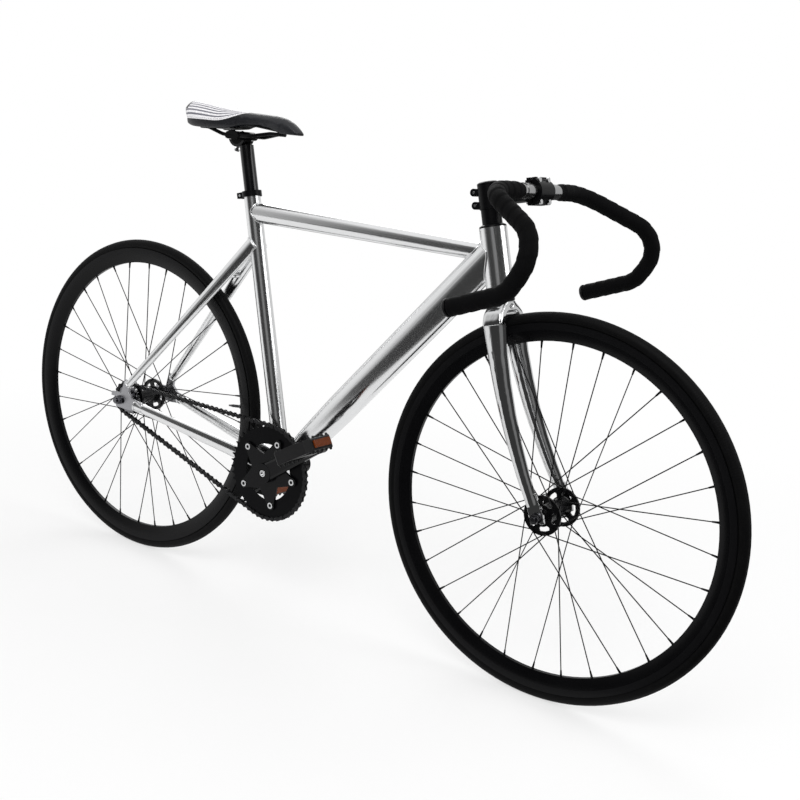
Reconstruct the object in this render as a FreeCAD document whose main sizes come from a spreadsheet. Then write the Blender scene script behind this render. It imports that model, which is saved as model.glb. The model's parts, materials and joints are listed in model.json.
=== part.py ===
"""Fixed gear track bicycle as a parametric assembly.

Millimetres, +X forward, +Y to the rider's left, +Z up. The origin lies on the ground, halfway
between the wheels. The chain and its two sprockets are on the right, at negative Y.
"""
import FreeCAD, Part
import math
import os
import Sketcher
from FreeCAD import Matrix, Placement, Rotation, Vector

SIZES = {
    # Layout of the frame
    "wheelbase": 991, "tyre_radius": 334, "bracket_drop": 66, "head_angle": 75,
    "seat_angle": 76.5, "fork_rake": 49, "head_tube_foot": 362,
    # Main tubes
    "head_tube_length": 120, "head_tube_diameter": 47, "head_tube_bore": 36,
    "seat_tube_length": 541, "seat_tube_diameter": 31.8, "tube_wall": 1.8,
    "top_tube_seat_height": 38, "top_tube_head_height": 29, "top_tube_width": 30,
    "top_tube_below_end": 38, "top_tube_on_head_tube": 437,
    "down_tube_height": 60, "down_tube_width": 46, "down_tube_on_head_tube": 442,
    "shell_width": 68, "shell_diameter": 40, "shell_bore": 35,
    # Stays, track ends and their bridge
    "stay_wall": 1.5, "seat_stay_top_height": 29, "seat_stay_foot_height": 16,
    "seat_stay_top_width": 17, "seat_stay_foot_width": 13, "seat_stay_below_end": 97,
    "seat_stay_top_spread": 10, "chain_stay_height": 30, "chain_stay_width": 15,
    "chain_stay_foot_height": 20, "chain_stay_foot_width": 13, "chain_stay_spread": 20,
    "track_end_thickness": 6, "track_slot_width": 10.4, "rear_spacing": 120,
    "bridge_diameter": 14, "bridge_height": 630, "brake_hole_diameter": 6,
    # Seat
    "post_diameter": 27.2, "post_length": 250, "post_wall": 2, "post_showing": 95,
    "post_setback": 13, "cradle_radius": 16.3, "cradle_wall": 5, "cradle_width": 28, "post_clearance": 0.05,
    "collar_wall": 3.2, "collar_height": 11, "collar_slit": 3,
    "rail_diameter": 7, "rail_spread": 44, "rail_height": 12, "rail_clamp_length": 36,
    "rail_clamp_width": 58, "rail_clamp_height": 8, "clamp_bolt_diameter": 6, "clamp_bolt_lean": 20,
    "saddle_length": 263, "saddle_width": 130, "saddle_nose_reach": 136, "saddle_height": 45,
    "saddle_arch": 8, "saddle_channel": 5, "saddle_base": 26, "shell_thickness": 3,
    # Fork and headset
    "steerer_diameter": 28.6, "steerer_bore": 24, "crown_height": 18, "crown_width": 86,
    "crown_depth": 38, "crown_rounding": 5, "crown_gap": 40, "crown_leg": 38, "blade_top_depth": 44,
    "blade_top_width": 21, "blade_wall": 1.6,
    "blade_tip_depth": 22, "blade_tip_width": 13, "fork_spacing": 100, "fork_tip_thickness": 6,
    "fork_slot_width": 9.4, "bearing_height": 7, "bearing_diameter": 41.8, "race_height": 4,
    "cover_height": 6, "spacer_height": 12.5, "spacer_diameter": 34, "running_clearance": 0.05,
    # Stem and bar
    "stem_height": 40, "stem_reach": 92, "stem_drop": 4, "stem_wall": 4, "stem_arm_diameter": 31,
    "bar_clamp_diameter": 26, "bar_clamp_width": 46, "clamp_wall": 6, "clamp_split": 3,
    "clamp_bolt_spread": 30, "stem_bolt_diameter": 5, "pinch_boss_diameter": 13,
    "pinch_boss_length": 22, "stem_bolt_head": 8.5, "cap_height": 5,
    "bar_diameter": 24, "bar_wall": 2, "bar_corner": 158, "bar_half_width": 232, "bar_reach": 137,
    "bar_ramp_drop": 65, "bar_hook_reach": 89, "bar_hook_drop": 143, "bar_end_reach": -5,
    "bar_drop": 177, "bar_corner_bend": 74, "bar_ramp_bend": 54, "bar_hook_bend": 48,
    "tape_thickness": 2.3, "tape_start": 62, "tape_clearance": 0.1,
    # Wheels
    "tyre_width": 23, "tyre_wall": 2.2, "rim_width": 23, "rim_inner_radius": 286,
    "rim_edge_radius": 316.5, "rim_wall": 1.5, "rim_bed_width": 7, "rim_seat_gap": 0.3,
    "spoke_count": 32, "spoke_crosses": 3, "spoke_diameter": 2, "flange_diameter": 68,
    "flange_thickness": 4, "spoke_hole_circle": 58, "hub_barrel_diameter": 31,
    "flange_slot_count": 5, "flange_slot_width": 8, "flange_slot_circle": 46, "flange_slot_angle": 50,
    "front_flange_spread": 70, "rear_flange_spread": 62, "front_axle_diameter": 9,
    "rear_axle_diameter": 10, "lock_nut_diameter": 17, "nut_across_flats": 15, "nut_height": 10,
    "axle_end": 4, "hub_end": 4,
    # Drive
    "chain_pitch": 12.7, "roller_diameter": 7.75, "chain_links": 96, "ring_teeth": 46,
    "cog_teeth": 16, "chain_line": 43.5, "sprocket_thickness": 2.8, "roller_gap": 0.15,
    "tooth_height": 3.4, "tooth_land": 1.5, "inner_width": 3.4, "plate_thickness": 1.1,
    "plate_height": 8.4, "plate_gap": 0.1, "ring_bore": 112, "bolt_circle": 130,
    "ring_bolt_diameter": 10, "ring_bolt_head": 12.4, "ring_bolt_head_height": 1.8,
    "cog_boss_diameter": 34.8, "lockring_diameter": 44, "lockring_thread": 32,
    "lockring_thickness": 4.5,
    # Cranks and pedals
    "crank_length": 165, "crank_angle": 32.5, "spindle_diameter": 17, "spindle_end": 13,
    "spindle_length": 112, "cup_flange": 3, "cup_depth": 12, "crank_boss_diameter": 40,
    "crank_inner_face": 45, "crank_boss_thickness": 17, "arm_root_width": 34, "arm_tip_width": 25,
    "arm_thickness": 13, "crank_flare": 11, "eye_diameter": 29, "spider_thickness": 4.6,
    "spider_root_width": 66, "spider_tip_width": 19, "crank_bolt_head": 15,
    "pedal_axle_diameter": 14, "pedal_spindle_diameter": 12, "pedal_length": 94,
    "pedal_width": 76, "pedal_height": 24, "pedal_gap": 4, "pedal_pitch": 30,
    "pedal_rib": 8, "pedal_rounding": 4.5,
    "pedal_barrel_diameter": 23, "reflector_length": 46, "reflector_height": 14,
    "reflector_thickness": 3,
}

doc = FreeCAD.newDocument("fixed_gear_bicycle")
sheet = doc.addObject("Spreadsheet::Sheet", "Dims")
for row, (alias, number) in enumerate(SIZES.items(), 1):
    sheet.set("A%d" % row, alias)
    sheet.set("B%d" % row, str(number))
    sheet.setAlias("B%d" % row, alias)
doc.recompute()


class Size:
    """A length that knows its value and the sheet expression that gives it."""

    def __init__(self, value, text):
        self.value = float(value)
        self.text = text

    @staticmethod
    def of(other):
        return other if isinstance(other, Size) else Size(other, repr(float(other)))

    def _join(self, sign, left, right, value):
        return Size(value, "(%s %s %s)" % (left.text, sign, right.text))

    def __add__(self, other):
        other = Size.of(other)
        return self._join("+", self, other, self.value + other.value)

    def __radd__(self, other):
        return Size.of(other) + self

    def __sub__(self, other):
        other = Size.of(other)
        return self._join("-", self, other, self.value - other.value)

    def __rsub__(self, other):
        return Size.of(other) - self

    def __mul__(self, other):
        other = Size.of(other)
        return self._join("*", self, other, self.value * other.value)

    def __rmul__(self, other):
        return Size.of(other) * self

    def __truediv__(self, other):
        other = Size.of(other)
        return self._join("/", self, other, self.value / other.value)

    def __neg__(self):
        return Size.of(-1) * self

    def __float__(self):
        return self.value


class Sheet:
    """Sizes of the sheet by name, such as S.wheelbase."""

    def __getattr__(self, alias):
        return Size(sheet.get(alias), "Dims." + alias)


S = Sheet()


def v(name):
    """Plain value of one size, for places and curves worked out in code."""
    return float(sheet.get(name))


def bind(obj, prop, size):
    size = Size.of(size)
    if "Dims" in size.text:
        obj.setExpression(prop, size.text)
    else:
        setattr(obj, prop, size.value)


# Points and directions of the layout
FORWARD, LEFT, UP = Vector(1, 0, 0), Vector(0, 1, 0), Vector(0, 0, 1)
HEAD_LEAN = math.radians(v("head_angle"))
SEAT_LEAN = math.radians(v("seat_angle"))
STEER = Vector(-math.cos(HEAD_LEAN), 0, math.sin(HEAD_LEAN))
AHEAD = Vector(math.sin(HEAD_LEAN), 0, math.cos(HEAD_LEAN))
SEAT = Vector(-math.cos(SEAT_LEAN), 0, math.sin(SEAT_LEAN))
FRONT_AXLE = Vector(v("wheelbase") / 2, 0, v("tyre_radius"))
REAR_AXLE = Vector(-v("wheelbase") / 2, 0, v("tyre_radius"))
STEER_FOOT = FRONT_AXLE - AHEAD * v("fork_rake")


def pitch_radius(teeth):
    return v("chain_pitch") / (2 * math.sin(math.pi / teeth))


RING_RADIUS = pitch_radius(v("ring_teeth"))
COG_RADIUS = pitch_radius(v("cog_teeth"))


def chain_stretch(centres):
    """Links that the chain needs at one distance between the sprockets, and its wrap angle."""
    lean = math.asin((RING_RADIUS - COG_RADIUS) / centres)
    run = centres * math.cos(lean) / v("chain_pitch")
    ring = (math.pi + 2 * lean) / (2 * math.pi) * v("ring_teeth")
    cog = (math.pi - 2 * lean) / (2 * math.pi) * v("cog_teeth")
    return ring + cog + 2 * run, lean, run


def chain_centres():
    """Distance between crank and rear axle at which the chain closes, the wheel drawn back."""
    low, high = 2 * RING_RADIUS, v("chain_links") * v("chain_pitch") / 2
    for _ in range(60):
        middle = (low + high) / 2
        if chain_stretch(middle)[0] < v("chain_links"):
            low = middle
        else:
            high = middle
    return (low + high) / 2


CENTRES = chain_centres()
CRANK = REAR_AXLE + Vector(math.sqrt(CENTRES ** 2 - v("bracket_drop") ** 2), 0, -v("bracket_drop"))


def steer_at(along, ahead=0.0, left=0.0):
    return STEER_FOOT + STEER * along + AHEAD * ahead + LEFT * left


def seat_at(along):
    return CRANK + SEAT * along


def aimed(origin, axis, across=LEFT):
    """Placement whose local z points along axis and whose local y lies as near to across as it can."""
    z = Vector(axis).normalize()
    x = Vector(across).cross(z).normalize()
    y = z.cross(x)
    frame = Matrix(x.x, y.x, z.x, 0, x.y, y.y, z.y, 0, x.z, y.z, z.z, 0, 0, 0, 0, 1)
    return Placement(origin, Placement(frame).Rotation)


def sideways(origin, turn=0.0):
    """Placement whose local z points to the right and whose local x is turned up from forward."""
    return Placement(origin, Rotation(LEFT, -turn) * Rotation(FORWARD, 90))


# Ways of making a piece
nodes = []


def keep(obj, label):
    obj.Label = label
    nodes.append(obj)
    return obj


def closed_outline(sketch, points):
    """Closed outline whose corners are tied to the sheet."""
    first = sketch.GeometryCount
    count = len(points)
    corners = [(Size.of(x), Size.of(y)) for x, y in points]
    for i in range(count):
        a, b = [Vector(x.value, y.value, 0) for x, y in (corners[i], corners[(i + 1) % count])]
        sketch.addGeometry(Part.LineSegment(a, b))
    for i in range(count):
        sketch.addConstraint(Sketcher.Constraint("Coincident", first + i, 2, first + (i + 1) % count, 1))
    for i, corner in enumerate(corners):
        for kind, size in zip(("DistanceX", "DistanceY"), corner):
            index = sketch.addConstraint(Sketcher.Constraint(kind, -1, 1, first + i, 1, size.value))
            if "Dims" in size.text:
                sketch.setExpression("Constraints[%d]" % index, size.text)


def circle(sketch, x, y, diameter):
    x, y, diameter = Size.of(x), Size.of(y), Size.of(diameter)
    geo = sketch.addGeometry(Part.Circle(Vector(x.value, y.value, 0), UP, diameter.value / 2))
    for kind, size in (("DistanceX", x), ("DistanceY", y)):
        index = sketch.addConstraint(Sketcher.Constraint(kind, -1, 1, geo, 3, size.value))
        if "Dims" in size.text:
            sketch.setExpression("Constraints[%d]" % index, size.text)
    index = sketch.addConstraint(Sketcher.Constraint("Diameter", geo, diameter.value))
    if "Dims" in diameter.text:
        sketch.setExpression("Constraints[%d]" % index, diameter.text)


def new_body(name):
    return doc.addObject("PartDesign::Body", name)


def sketch_on(body, role, lift=0.0):
    sketch = body.newObject("Sketcher::SketchObject", "Profile")
    plane = [f for f in body.Origin.OriginFeatures if f.Role == role][0]
    sketch.AttachmentSupport = (plane, [""])
    sketch.MapMode = "FlatFace"
    lift = Size.of(lift)
    if "Dims" in lift.text:
        sketch.setExpression("AttachmentOffset.Base.z", lift.text)
    else:
        sketch.AttachmentOffset = Placement(Vector(0, 0, lift.value), Rotation())
    return sketch


def turned(name, loops, place):
    """Turned piece: closed profiles of radius and height, about local z."""
    body = new_body(name)
    sketch = sketch_on(body, "XZ_Plane")
    for loop in loops:
        closed_outline(sketch, loop)
    spin = body.newObject("PartDesign::Revolution", "Turn")
    spin.Profile = sketch
    spin.ReferenceAxis = (sketch, ["V_Axis"])
    spin.Angle = 360
    body.Placement = place
    return body


def padded_on(body, sketch, length, reverse=False):
    pad = body.newObject("PartDesign::Pad", "Pad")
    pad.Profile = sketch
    bind(pad, "Length", length)
    pad.Reversed = reverse
    return pad


def pocketed(body, sketch):
    """Cut right through, both ways."""
    pocket = body.newObject("PartDesign::Pocket", "Pocket")
    pocket.Profile = sketch
    pocket.Type = "ThroughAll"
    pocket.Midplane = True
    return pocket


def patterned(body, feature, count):
    """Repeat a feature evenly round the axis of its sketch."""
    pattern = body.newObject("PartDesign::PolarPattern", "Pattern")
    pattern.Originals = [feature]
    pattern.Axis = (feature.Profile[0], ["N_Axis"])
    pattern.Angle = 360
    count = Size.of(count)
    pattern.Occurrences = int(count.value)
    if "Dims" in count.text:
        pattern.setExpression("Occurrences", count.text)
    body.Tip = pattern
    return pattern


def plate(name, loops, thickness, place, holes=()):
    """Flat plate from closed outlines in local x and y, padded along local z."""
    body = new_body(name)
    sketch = sketch_on(body, "XY_Plane")
    for loop in loops:
        closed_outline(sketch, loop)
    for hole in holes:
        circle(sketch, *hole)
    padded_on(body, sketch, thickness)
    body.Placement = place
    return body


def rounded(body, radius, chosen):
    """Round those edges of a body that the test picks out, in the body's own axes."""
    doc.recompute()
    base = body.Tip
    edges = ["Edge%d" % (i + 1) for i, edge in enumerate(base.Shape.Edges) if chosen(edge)]
    fillet = body.newObject("PartDesign::Fillet", "Round")
    fillet.Base = (base, edges)
    bind(fillet, "Radius", radius)
    body.Tip = fillet
    return fillet


def rod(name, diameter, length, place):
    piece = doc.addObject("Part::Cylinder", name)
    bind(piece, "Radius", Size.of(diameter) / 2)
    bind(piece, "Height", length)
    piece.Placement = place
    return piece


def prism(name, sides, diameter, length, place):
    """Even-sided bar, its corners on the given diameter."""
    piece = doc.addObject("Part::Prism", name)
    piece.Polygon = sides
    bind(piece, "Circumradius", Size.of(diameter) / 2)
    bind(piece, "Height", length)
    piece.Placement = place
    return piece


def block(name, length, width, height, place):
    """Block centred on local x and y, standing on local z."""
    piece = doc.addObject("Part::Box", name)
    bind(piece, "Length", length)
    bind(piece, "Width", width)
    bind(piece, "Height", height)
    shift = Vector(-Size.of(length).value / 2, -Size.of(width).value / 2, 0)
    piece.Placement = place * Placement(shift, Rotation())
    return piece


def cut(name, base, *tools):
    piece = base
    for tool in tools:
        step = doc.addObject("Part::Cut", name)
        step.Base = piece
        step.Tool = tool
        step.Refine = True
        piece = step
    return piece


def fuse(name, *shapes):
    piece = doc.addObject("Part::MultiFuse", name)
    piece.Shapes = list(shapes)
    piece.Refine = True
    return piece


def solid_of(name, shape):
    piece = doc.addObject("Part::Feature", name)
    piece.Shape = shape
    return piece


def many(name, source, places):
    """Like pieces in one node: copies of a finished piece at several places."""
    doc.recompute()
    copies = []
    for place in places:
        copy = source.Shape.copy()
        copy.Placement = place * copy.Placement
        copies.append(copy)
    return solid_of(name, Part.makeCompound(copies))


def mirrored(name, source):
    piece = doc.addObject("Part::Mirroring", name)
    piece.Source = source
    piece.Normal = LEFT
    piece.Base = Vector(0, 0, 0)
    return piece


def oval(place, height, width, sides):
    """Closed oval of flats in a plane: height along local x, width along local y."""
    turns = [2 * math.pi * (k + 0.5) / sides for k in range(sides)]
    corners = [place.multVec(Vector(height / 2 * math.cos(a), width / 2 * math.sin(a), 0)) for a in turns]
    return Part.makePolygon(corners + corners[:1])


def oval_tube(name, stations, sides, wall=0.0):
    """Tapered oval tube through stations of point, direction, height and width."""
    skins = []
    for inset in ([0.0, wall] if wall else [0.0]):
        wires = []
        for point, axis, height, width in stations:
            wires.append(oval(aimed(point, axis), height - 2 * inset, width - 2 * inset, sides))
        skins.append(Part.makeLoft(wires, True, True))
    return solid_of(name, skins[0].cut(skins[1]) if wall else skins[0])


def round_tube(name, diameter, bore, length, place):
    return cut(name, rod("Outside", diameter, length, place), rod("Inside", bore, length, place))


def ring_face(centre, axis, diameter, bore):
    face = Part.Face(Part.Wire(Part.Circle(centre, axis, diameter / 2).toShape()))
    if bore:
        face = face.cut(Part.Face(Part.Wire(Part.Circle(centre, axis, bore / 2).toShape())))
    return face


def bent_tube(name, corners, bends, diameter, bore=0.0):
    """Round tube or rod: straight runs between corners, joined by tangent bends."""
    runs, start = [], corners[0]
    for before, corner, after, bend in zip(corners, corners[1:], corners[2:], bends):
        back = (before - corner).normalize()
        on = (after - corner).normalize()
        half = back.getAngle(on) / 2
        reach = bend / math.tan(half)
        enter, leave = corner + back * reach, corner + on * reach
        centre = corner + (back + on).normalize() * (bend / math.sin(half))
        runs.append(ring_face(start, back, diameter, bore).extrude(enter - start))
        axis = back.cross(on) * -1
        turn = 180 - math.degrees(2 * half)
        runs.append(ring_face(enter, back, diameter, bore).revolve(centre, axis, turn))
        start = leave
    last = corners[-1] - start
    runs.append(ring_face(start, last, diameter, bore).extrude(last))
    solids = [solid for run in runs for solid in run.Solids]
    return solid_of(name, solids[0].multiFuse(solids[1:]).removeSplitter())


def pair(name, source):
    """A piece on the right and its mirror image on the left, in one node."""
    doc.recompute()
    twin = source.Shape.mirror(Vector(0, 0, 0), LEFT)
    return solid_of(name, Part.makeCompound([source.Shape.copy(), twin]))


def right(distance):
    return LEFT * -distance


# Main tubes: each is cut to the tube that it is welded to
head_foot = v("head_tube_foot")
head_top = head_foot + v("head_tube_length")
seat_core = rod("SeatCore", S.seat_tube_diameter, S.seat_tube_length, aimed(CRANK, SEAT))
head_core = rod("HeadCore", S.head_tube_diameter, S.head_tube_length, aimed(steer_at(head_foot), STEER))
shell_place = sideways(CRANK - right(v("shell_width") / 2))
shell_core = rod("ShellCore", S.shell_diameter, S.shell_width, shell_place)

outside, bore, seat_bore = S.head_tube_diameter / 2, S.head_tube_bore / 2, S.bearing_diameter / 2
long, deep = S.head_tube_length, S.bearing_height
keep(turned("HeadTube", [[
    (seat_bore, 0), (outside, 0), (outside, long), (seat_bore, long), (seat_bore, long - deep),
    (bore, long - deep), (bore, deep), (seat_bore, deep)]], aimed(steer_at(head_foot), STEER)), "head_tube")

post_bore = S.post_diameter + 2 * S.post_clearance
seat_tube = rod("SeatBore", post_bore, S.seat_tube_length, aimed(CRANK, SEAT))
keep(cut("SeatTube", seat_core, seat_tube, shell_core), "seat_tube")
keep(round_tube("Shell", S.shell_diameter, S.shell_bore, S.shell_width, shell_place), "bottom_bracket_shell")


def tapered(start, end, shares):
    """Stations between two points: share of the way, height and width."""
    axis = end - start
    return [(start + axis * share, axis, height, width) for share, height, width in shares]


top_tube_rear = seat_at(v("seat_tube_length") - v("top_tube_below_end"))
top_stations = tapered(top_tube_rear, steer_at(v("top_tube_on_head_tube")), [
    (0, v("top_tube_seat_height"), v("top_tube_width")),
    (1, v("top_tube_head_height"), v("top_tube_width"))])
top_core = oval_tube("TopCore", top_stations, 24)
top_skin = oval_tube("TopSkin", top_stations, 24, v("tube_wall"))
keep(cut("TopTube", top_skin, seat_core, head_core), "top_tube")

down_high, down_wide = v("down_tube_height"), v("down_tube_width")
down_foot = v("shell_diameter") - 2 * v("tube_wall")
down_stations = tapered(CRANK, steer_at(v("down_tube_on_head_tube")), [
    (0, down_foot, down_wide), (0.14, 0.3 * down_foot + 0.7 * down_high, down_wide),
    (0.3, down_high, down_wide), (1, down_high, down_wide)])
down_skin = oval_tube("DownSkin", down_stations, 24, v("tube_wall"))
keep(cut("DownTube", down_skin, head_core, seat_core, shell_core, top_core), "down_tube")

# Track ends: rear-facing slots, with a tab for each stay
slot = S.track_slot_width / 2
track_end = plate("TrackEnd", [[
    (-26, slot), (-26, slot + 9), (4, slot + 11), (12, 46), (31, 46), (26, 21), (38, 9), (66, 2),
    (66, -13), (24, -slot - 12), (-10, -slot - 11), (-15, -slot), (12, -slot), (12 + slot / 2, 0),
    (12, slot)]],
    S.track_end_thickness, sideways(REAR_AXLE + right(v("rear_spacing") / 2)))
end_middle = v("rear_spacing") / 2 + v("track_end_thickness") / 2

chain_stay_stations = tapered(
    CRANK + right(v("chain_stay_spread")), REAR_AXLE + Vector(44, -end_middle, -4), [
        (0, v("chain_stay_height"), v("chain_stay_width")),
        (1, v("chain_stay_foot_height"), v("chain_stay_foot_width"))])
chain_stay_skin = oval_tube("ChainStaySkin", chain_stay_stations, 16, v("stay_wall"))
chain_stay = cut("ChainStay", chain_stay_skin, shell_core, seat_core, track_end)
keep(chain_stay, "chain_stay_right")
keep(mirrored("ChainStayLeft", chain_stay), "chain_stay_left")

stay_top = seat_at(v("seat_tube_length") - v("seat_stay_below_end")) + right(v("seat_stay_top_spread"))
stay_foot = REAR_AXLE + Vector(22, -end_middle, 36)
seat_stay_stations = tapered(stay_top, stay_foot, [
    (0, v("seat_stay_top_height"), v("seat_stay_top_width")),
    (1, v("seat_stay_foot_height"), v("seat_stay_foot_width"))])
stay_core = oval_tube("StayCore", seat_stay_stations, 16)
seat_stay_skin = oval_tube("SeatStaySkin", seat_stay_stations, 16, v("stay_wall"))
seat_stay = cut("SeatStay", seat_stay_skin, seat_core, track_end)
keep(seat_stay, "seat_stay_right")
keep(mirrored("SeatStayLeft", seat_stay), "seat_stay_left")
keep(pair("TrackEnds", track_end), "track_ends")

# Brake bridge between the seat stays, drilled square to them
bridge_share = (stay_top.z - v("bridge_height")) / (stay_top.z - stay_foot.z)
bridge_at = stay_top + (stay_foot - stay_top) * bridge_share
bridge_middle = Vector(bridge_at.x, 0, bridge_at.z)
bridge_reach = -bridge_at.y
bridge = rod("BridgeTube", S.bridge_diameter, 2 * bridge_reach,
             sideways(bridge_middle - right(bridge_reach)))
stay_line = stay_foot - stay_top
BRIDGE_AXIS = Vector(-stay_line.z, 0, stay_line.x).normalize()
drill = rod("BridgeHole", S.brake_hole_diameter, 3 * S.bridge_diameter,
            aimed(bridge_middle - BRIDGE_AXIS * 1.5 * v("bridge_diameter"), BRIDGE_AXIS))
keep(cut("BrakeBridge", bridge, stay_core, mirrored("StayCoreLeft", stay_core), drill), "brake_bridge")

# Seat collar: split at the back, drawn together by one bolt
collar_seat = aimed(seat_at(v("seat_tube_length") - 0.8 * v("collar_height")), SEAT)
collar_radius = v("seat_tube_diameter") / 2 + v("collar_wall")


def on_collar(x, y, z, turn=Rotation()):
    return collar_seat * Placement(Vector(x, y, z), turn)


ear_back = collar_radius + 5
bolt_turn = Rotation(FORWARD, -90)
bolt_reach = v("collar_slit") / 2 + 8
collar_bolt = fuse(
    "CollarBolt",
    rod("CollarShank", S.stem_bolt_diameter, 2 * bolt_reach,
        on_collar(-ear_back, -bolt_reach, v("collar_height") / 2, bolt_turn)),
    rod("CollarHead", S.stem_bolt_head, S.stem_bolt_diameter,
        on_collar(-ear_back, bolt_reach, v("collar_height") / 2, bolt_turn)))
collar = cut(
    "Collar",
    fuse("CollarBlank",
         rod("CollarRing", S.seat_tube_diameter + 2 * S.collar_wall, S.collar_height, collar_seat),
         block("CollarEars", 13, S.collar_slit + 16, S.collar_height, on_collar(-ear_back, 0, 0))),
    rod("CollarBore", S.seat_tube_diameter, S.collar_height, collar_seat),
    block("CollarSlit", 26, S.collar_slit, S.collar_height, on_collar(-ear_back, 0, 0)), collar_bolt)
keep(collar, "seat_collar")
keep(collar_bolt, "seat_collar_bolt")

# Bearings pressed into the frame
steerer_hole = S.steerer_diameter / 2 + S.running_clearance
bearing = turned("Bearing", [[(steerer_hole, 0), (seat_bore, 0), (seat_bore, deep), (steerer_hole, deep)]],
                 Placement())
keep(many("HeadsetBearings", bearing, [
    aimed(steer_at(head_foot), STEER), aimed(steer_at(head_top - v("bearing_height")), STEER)]),
    "headset_bearings")
spindle_hole = S.spindle_diameter / 2 + S.running_clearance
cup = turned("Cup", [[
    (spindle_hole, -S.cup_depth), (S.shell_bore / 2, -S.cup_depth), (S.shell_bore / 2, 0),
    (S.shell_diameter / 2 - 1, 0), (S.shell_diameter / 2 - 1, S.cup_flange), (spindle_hole, S.cup_flange)]],
    sideways(CRANK + right(v("shell_width") / 2)))
keep(pair("BracketCups", cup), "bottom_bracket_cups")

# Rear axle and its nuts stay with the frame
hub_left = S.rear_flange_spread / 2 + S.flange_thickness / 2 + S.hub_end
hub_right = S.chain_line + S.sprocket_thickness / 2 + S.lockring_thickness + 0.5


def axle_profile(diameter, spacing, plate_thickness, left_end, right_end):
    """Axle with a cone and lock nut against each end plate."""
    thin, fat, inner = diameter / 2, S.lock_nut_diameter / 2, spacing / 2
    tip = inner + plate_thickness + S.nut_height + S.axle_end
    return [[(0, -tip), (thin, -tip), (thin, -inner), (fat, -inner), (fat, -left_end - 0.3),
             (thin, -left_end - 0.3), (thin, right_end + 0.3), (fat, right_end + 0.3), (fat, inner),
             (thin, inner), (thin, tip), (0, tip)]]


def axle_nut(name, diameter, place):
    hexagon = prism(name, 6, S.nut_across_flats * 2 / math.sqrt(3), S.nut_height, place)
    washer = rod("Washer", S.nut_across_flats + 4, S.nut_height / 4, place)
    bore_tool = rod("NutBore", diameter, S.nut_height, place)
    return cut(name, fuse("FlangedNut", hexagon, washer), bore_tool)


keep(turned("RearAxle", axle_profile(S.rear_axle_diameter, S.rear_spacing, S.track_end_thickness, hub_left,
                                     hub_right), sideways(REAR_AXLE)), "rear_axle")
rear_nut = axle_nut("RearNut", S.rear_axle_diameter,
                    sideways(REAR_AXLE + right(v("rear_spacing") / 2 + v("track_end_thickness"))))
keep(pair("RearNuts", rear_nut), "rear_axle_nuts")

# Seat post, with a cradle set back on its top for the saddle clamp to rock in
post_reach = v("seat_tube_length") + v("post_showing")
post_head = seat_at(post_reach)
post_foot = seat_at(post_reach - v("post_length"))
ROCK = post_head + FORWARD * -v("post_setback") + UP * v("rail_height")
cradle_half = v("cradle_width") / 2
cradle_place = sideways(ROCK - right(cradle_half))
cradle_round = S.cradle_radius + S.cradle_wall
cradle_tool = rod("CradleTool", 2 * S.cradle_radius, 2 * S.rail_clamp_width,
                  sideways(ROCK - right(v("rail_clamp_width"))))
cradle_top = block("CradleTop", 4 * cradle_round, 2 * S.cradle_width, 3 * cradle_round,
                   Placement(ROCK - UP * v("rail_clamp_height"), Rotation()))
bolt_lean = math.radians(v("clamp_bolt_lean"))
BOLT_LINE = Vector(-math.sin(bolt_lean), 0, -math.cos(bolt_lean))
post_tube = rod("PostTube", S.post_diameter, S.post_length - 6, aimed(post_foot, SEAT))
post_bore = rod("PostBore", S.post_diameter - 2 * S.post_wall, S.post_length - 40, aimed(post_foot, SEAT))
bolt_slot = block("BoltSlot", 2.6 * S.clamp_bolt_diameter, S.clamp_bolt_diameter + 1, 12,
                  aimed(ROCK + BOLT_LINE * (v("cradle_radius") - 3), BOLT_LINE))
post_cradle = rod("Cradle", 2 * cradle_round, S.cradle_width, cradle_place)
post_blank = fuse("PostBlank", post_tube, post_cradle)
keep(cut("SeatPost", post_blank, cradle_tool, cradle_top, post_bore, bolt_slot), "seatpost")

# Saddle rails, gripped between an upper and a lower clamp that rock about the rails' middle
rail_out = v("rail_spread") / 2
rail_up = v("rail_height")
rail_end_up = v("saddle_base") - v("shell_thickness") - v("rail_diameter") / 2 - 0.2
rail = bent_tube("Rail", [
    post_head + Vector(88, -11, rail_end_up + 1), post_head + Vector(70, -12, rail_end_up + 1),
    post_head + Vector(26, -rail_out, rail_up), post_head + Vector(-40, -rail_out, rail_up),
    post_head + Vector(-72, -30, rail_end_up + 4), post_head + Vector(-90, -32, rail_end_up + 4)],
    [30, 30, 30, 30], v("rail_diameter"))
rails = pair("SaddleRails", rail)
keep(rails, "saddle_rails")

clamp_bolt = fuse(
    "ClampBolt",
    rod("ClampShank", S.clamp_bolt_diameter, 36, aimed(ROCK - BOLT_LINE * 9, BOLT_LINE)),
    rod("ClampHead", 1.7 * S.clamp_bolt_diameter, 5, aimed(ROCK + BOLT_LINE * 26.2, BOLT_LINE)))
clamp_length, clamp_height = S.rail_clamp_length / 2, S.rail_clamp_height
clamp_place = sideways(ROCK - right(v("rail_clamp_width") / 2))
upper_clamp = plate("UpperClamp", [[
    (-clamp_length, 0.2), (clamp_length, 0.2), (clamp_length * 0.72, clamp_height * 0.7),
    (clamp_length * 0.3, clamp_height), (-clamp_length * 0.3, clamp_height),
    (-clamp_length * 0.72, clamp_height * 0.7)]], S.rail_clamp_width, clamp_place)
keep(cut("UpperClampGrooved", upper_clamp, rails, clamp_bolt), "saddle_clamp_upper")
rocker = S.cradle_radius - 0.3
lower_clamp = plate("LowerClamp", [[
    (clamp_length, -0.2), (-clamp_length, -0.2), (-clamp_length * 0.8, -clamp_height * 0.75),
    (-rocker * 0.6, -clamp_height + 0.4), (rocker * 0.6, -clamp_height + 0.4),
    (clamp_length * 0.8, -clamp_height * 0.75)]], S.rail_clamp_width, clamp_place)
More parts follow.
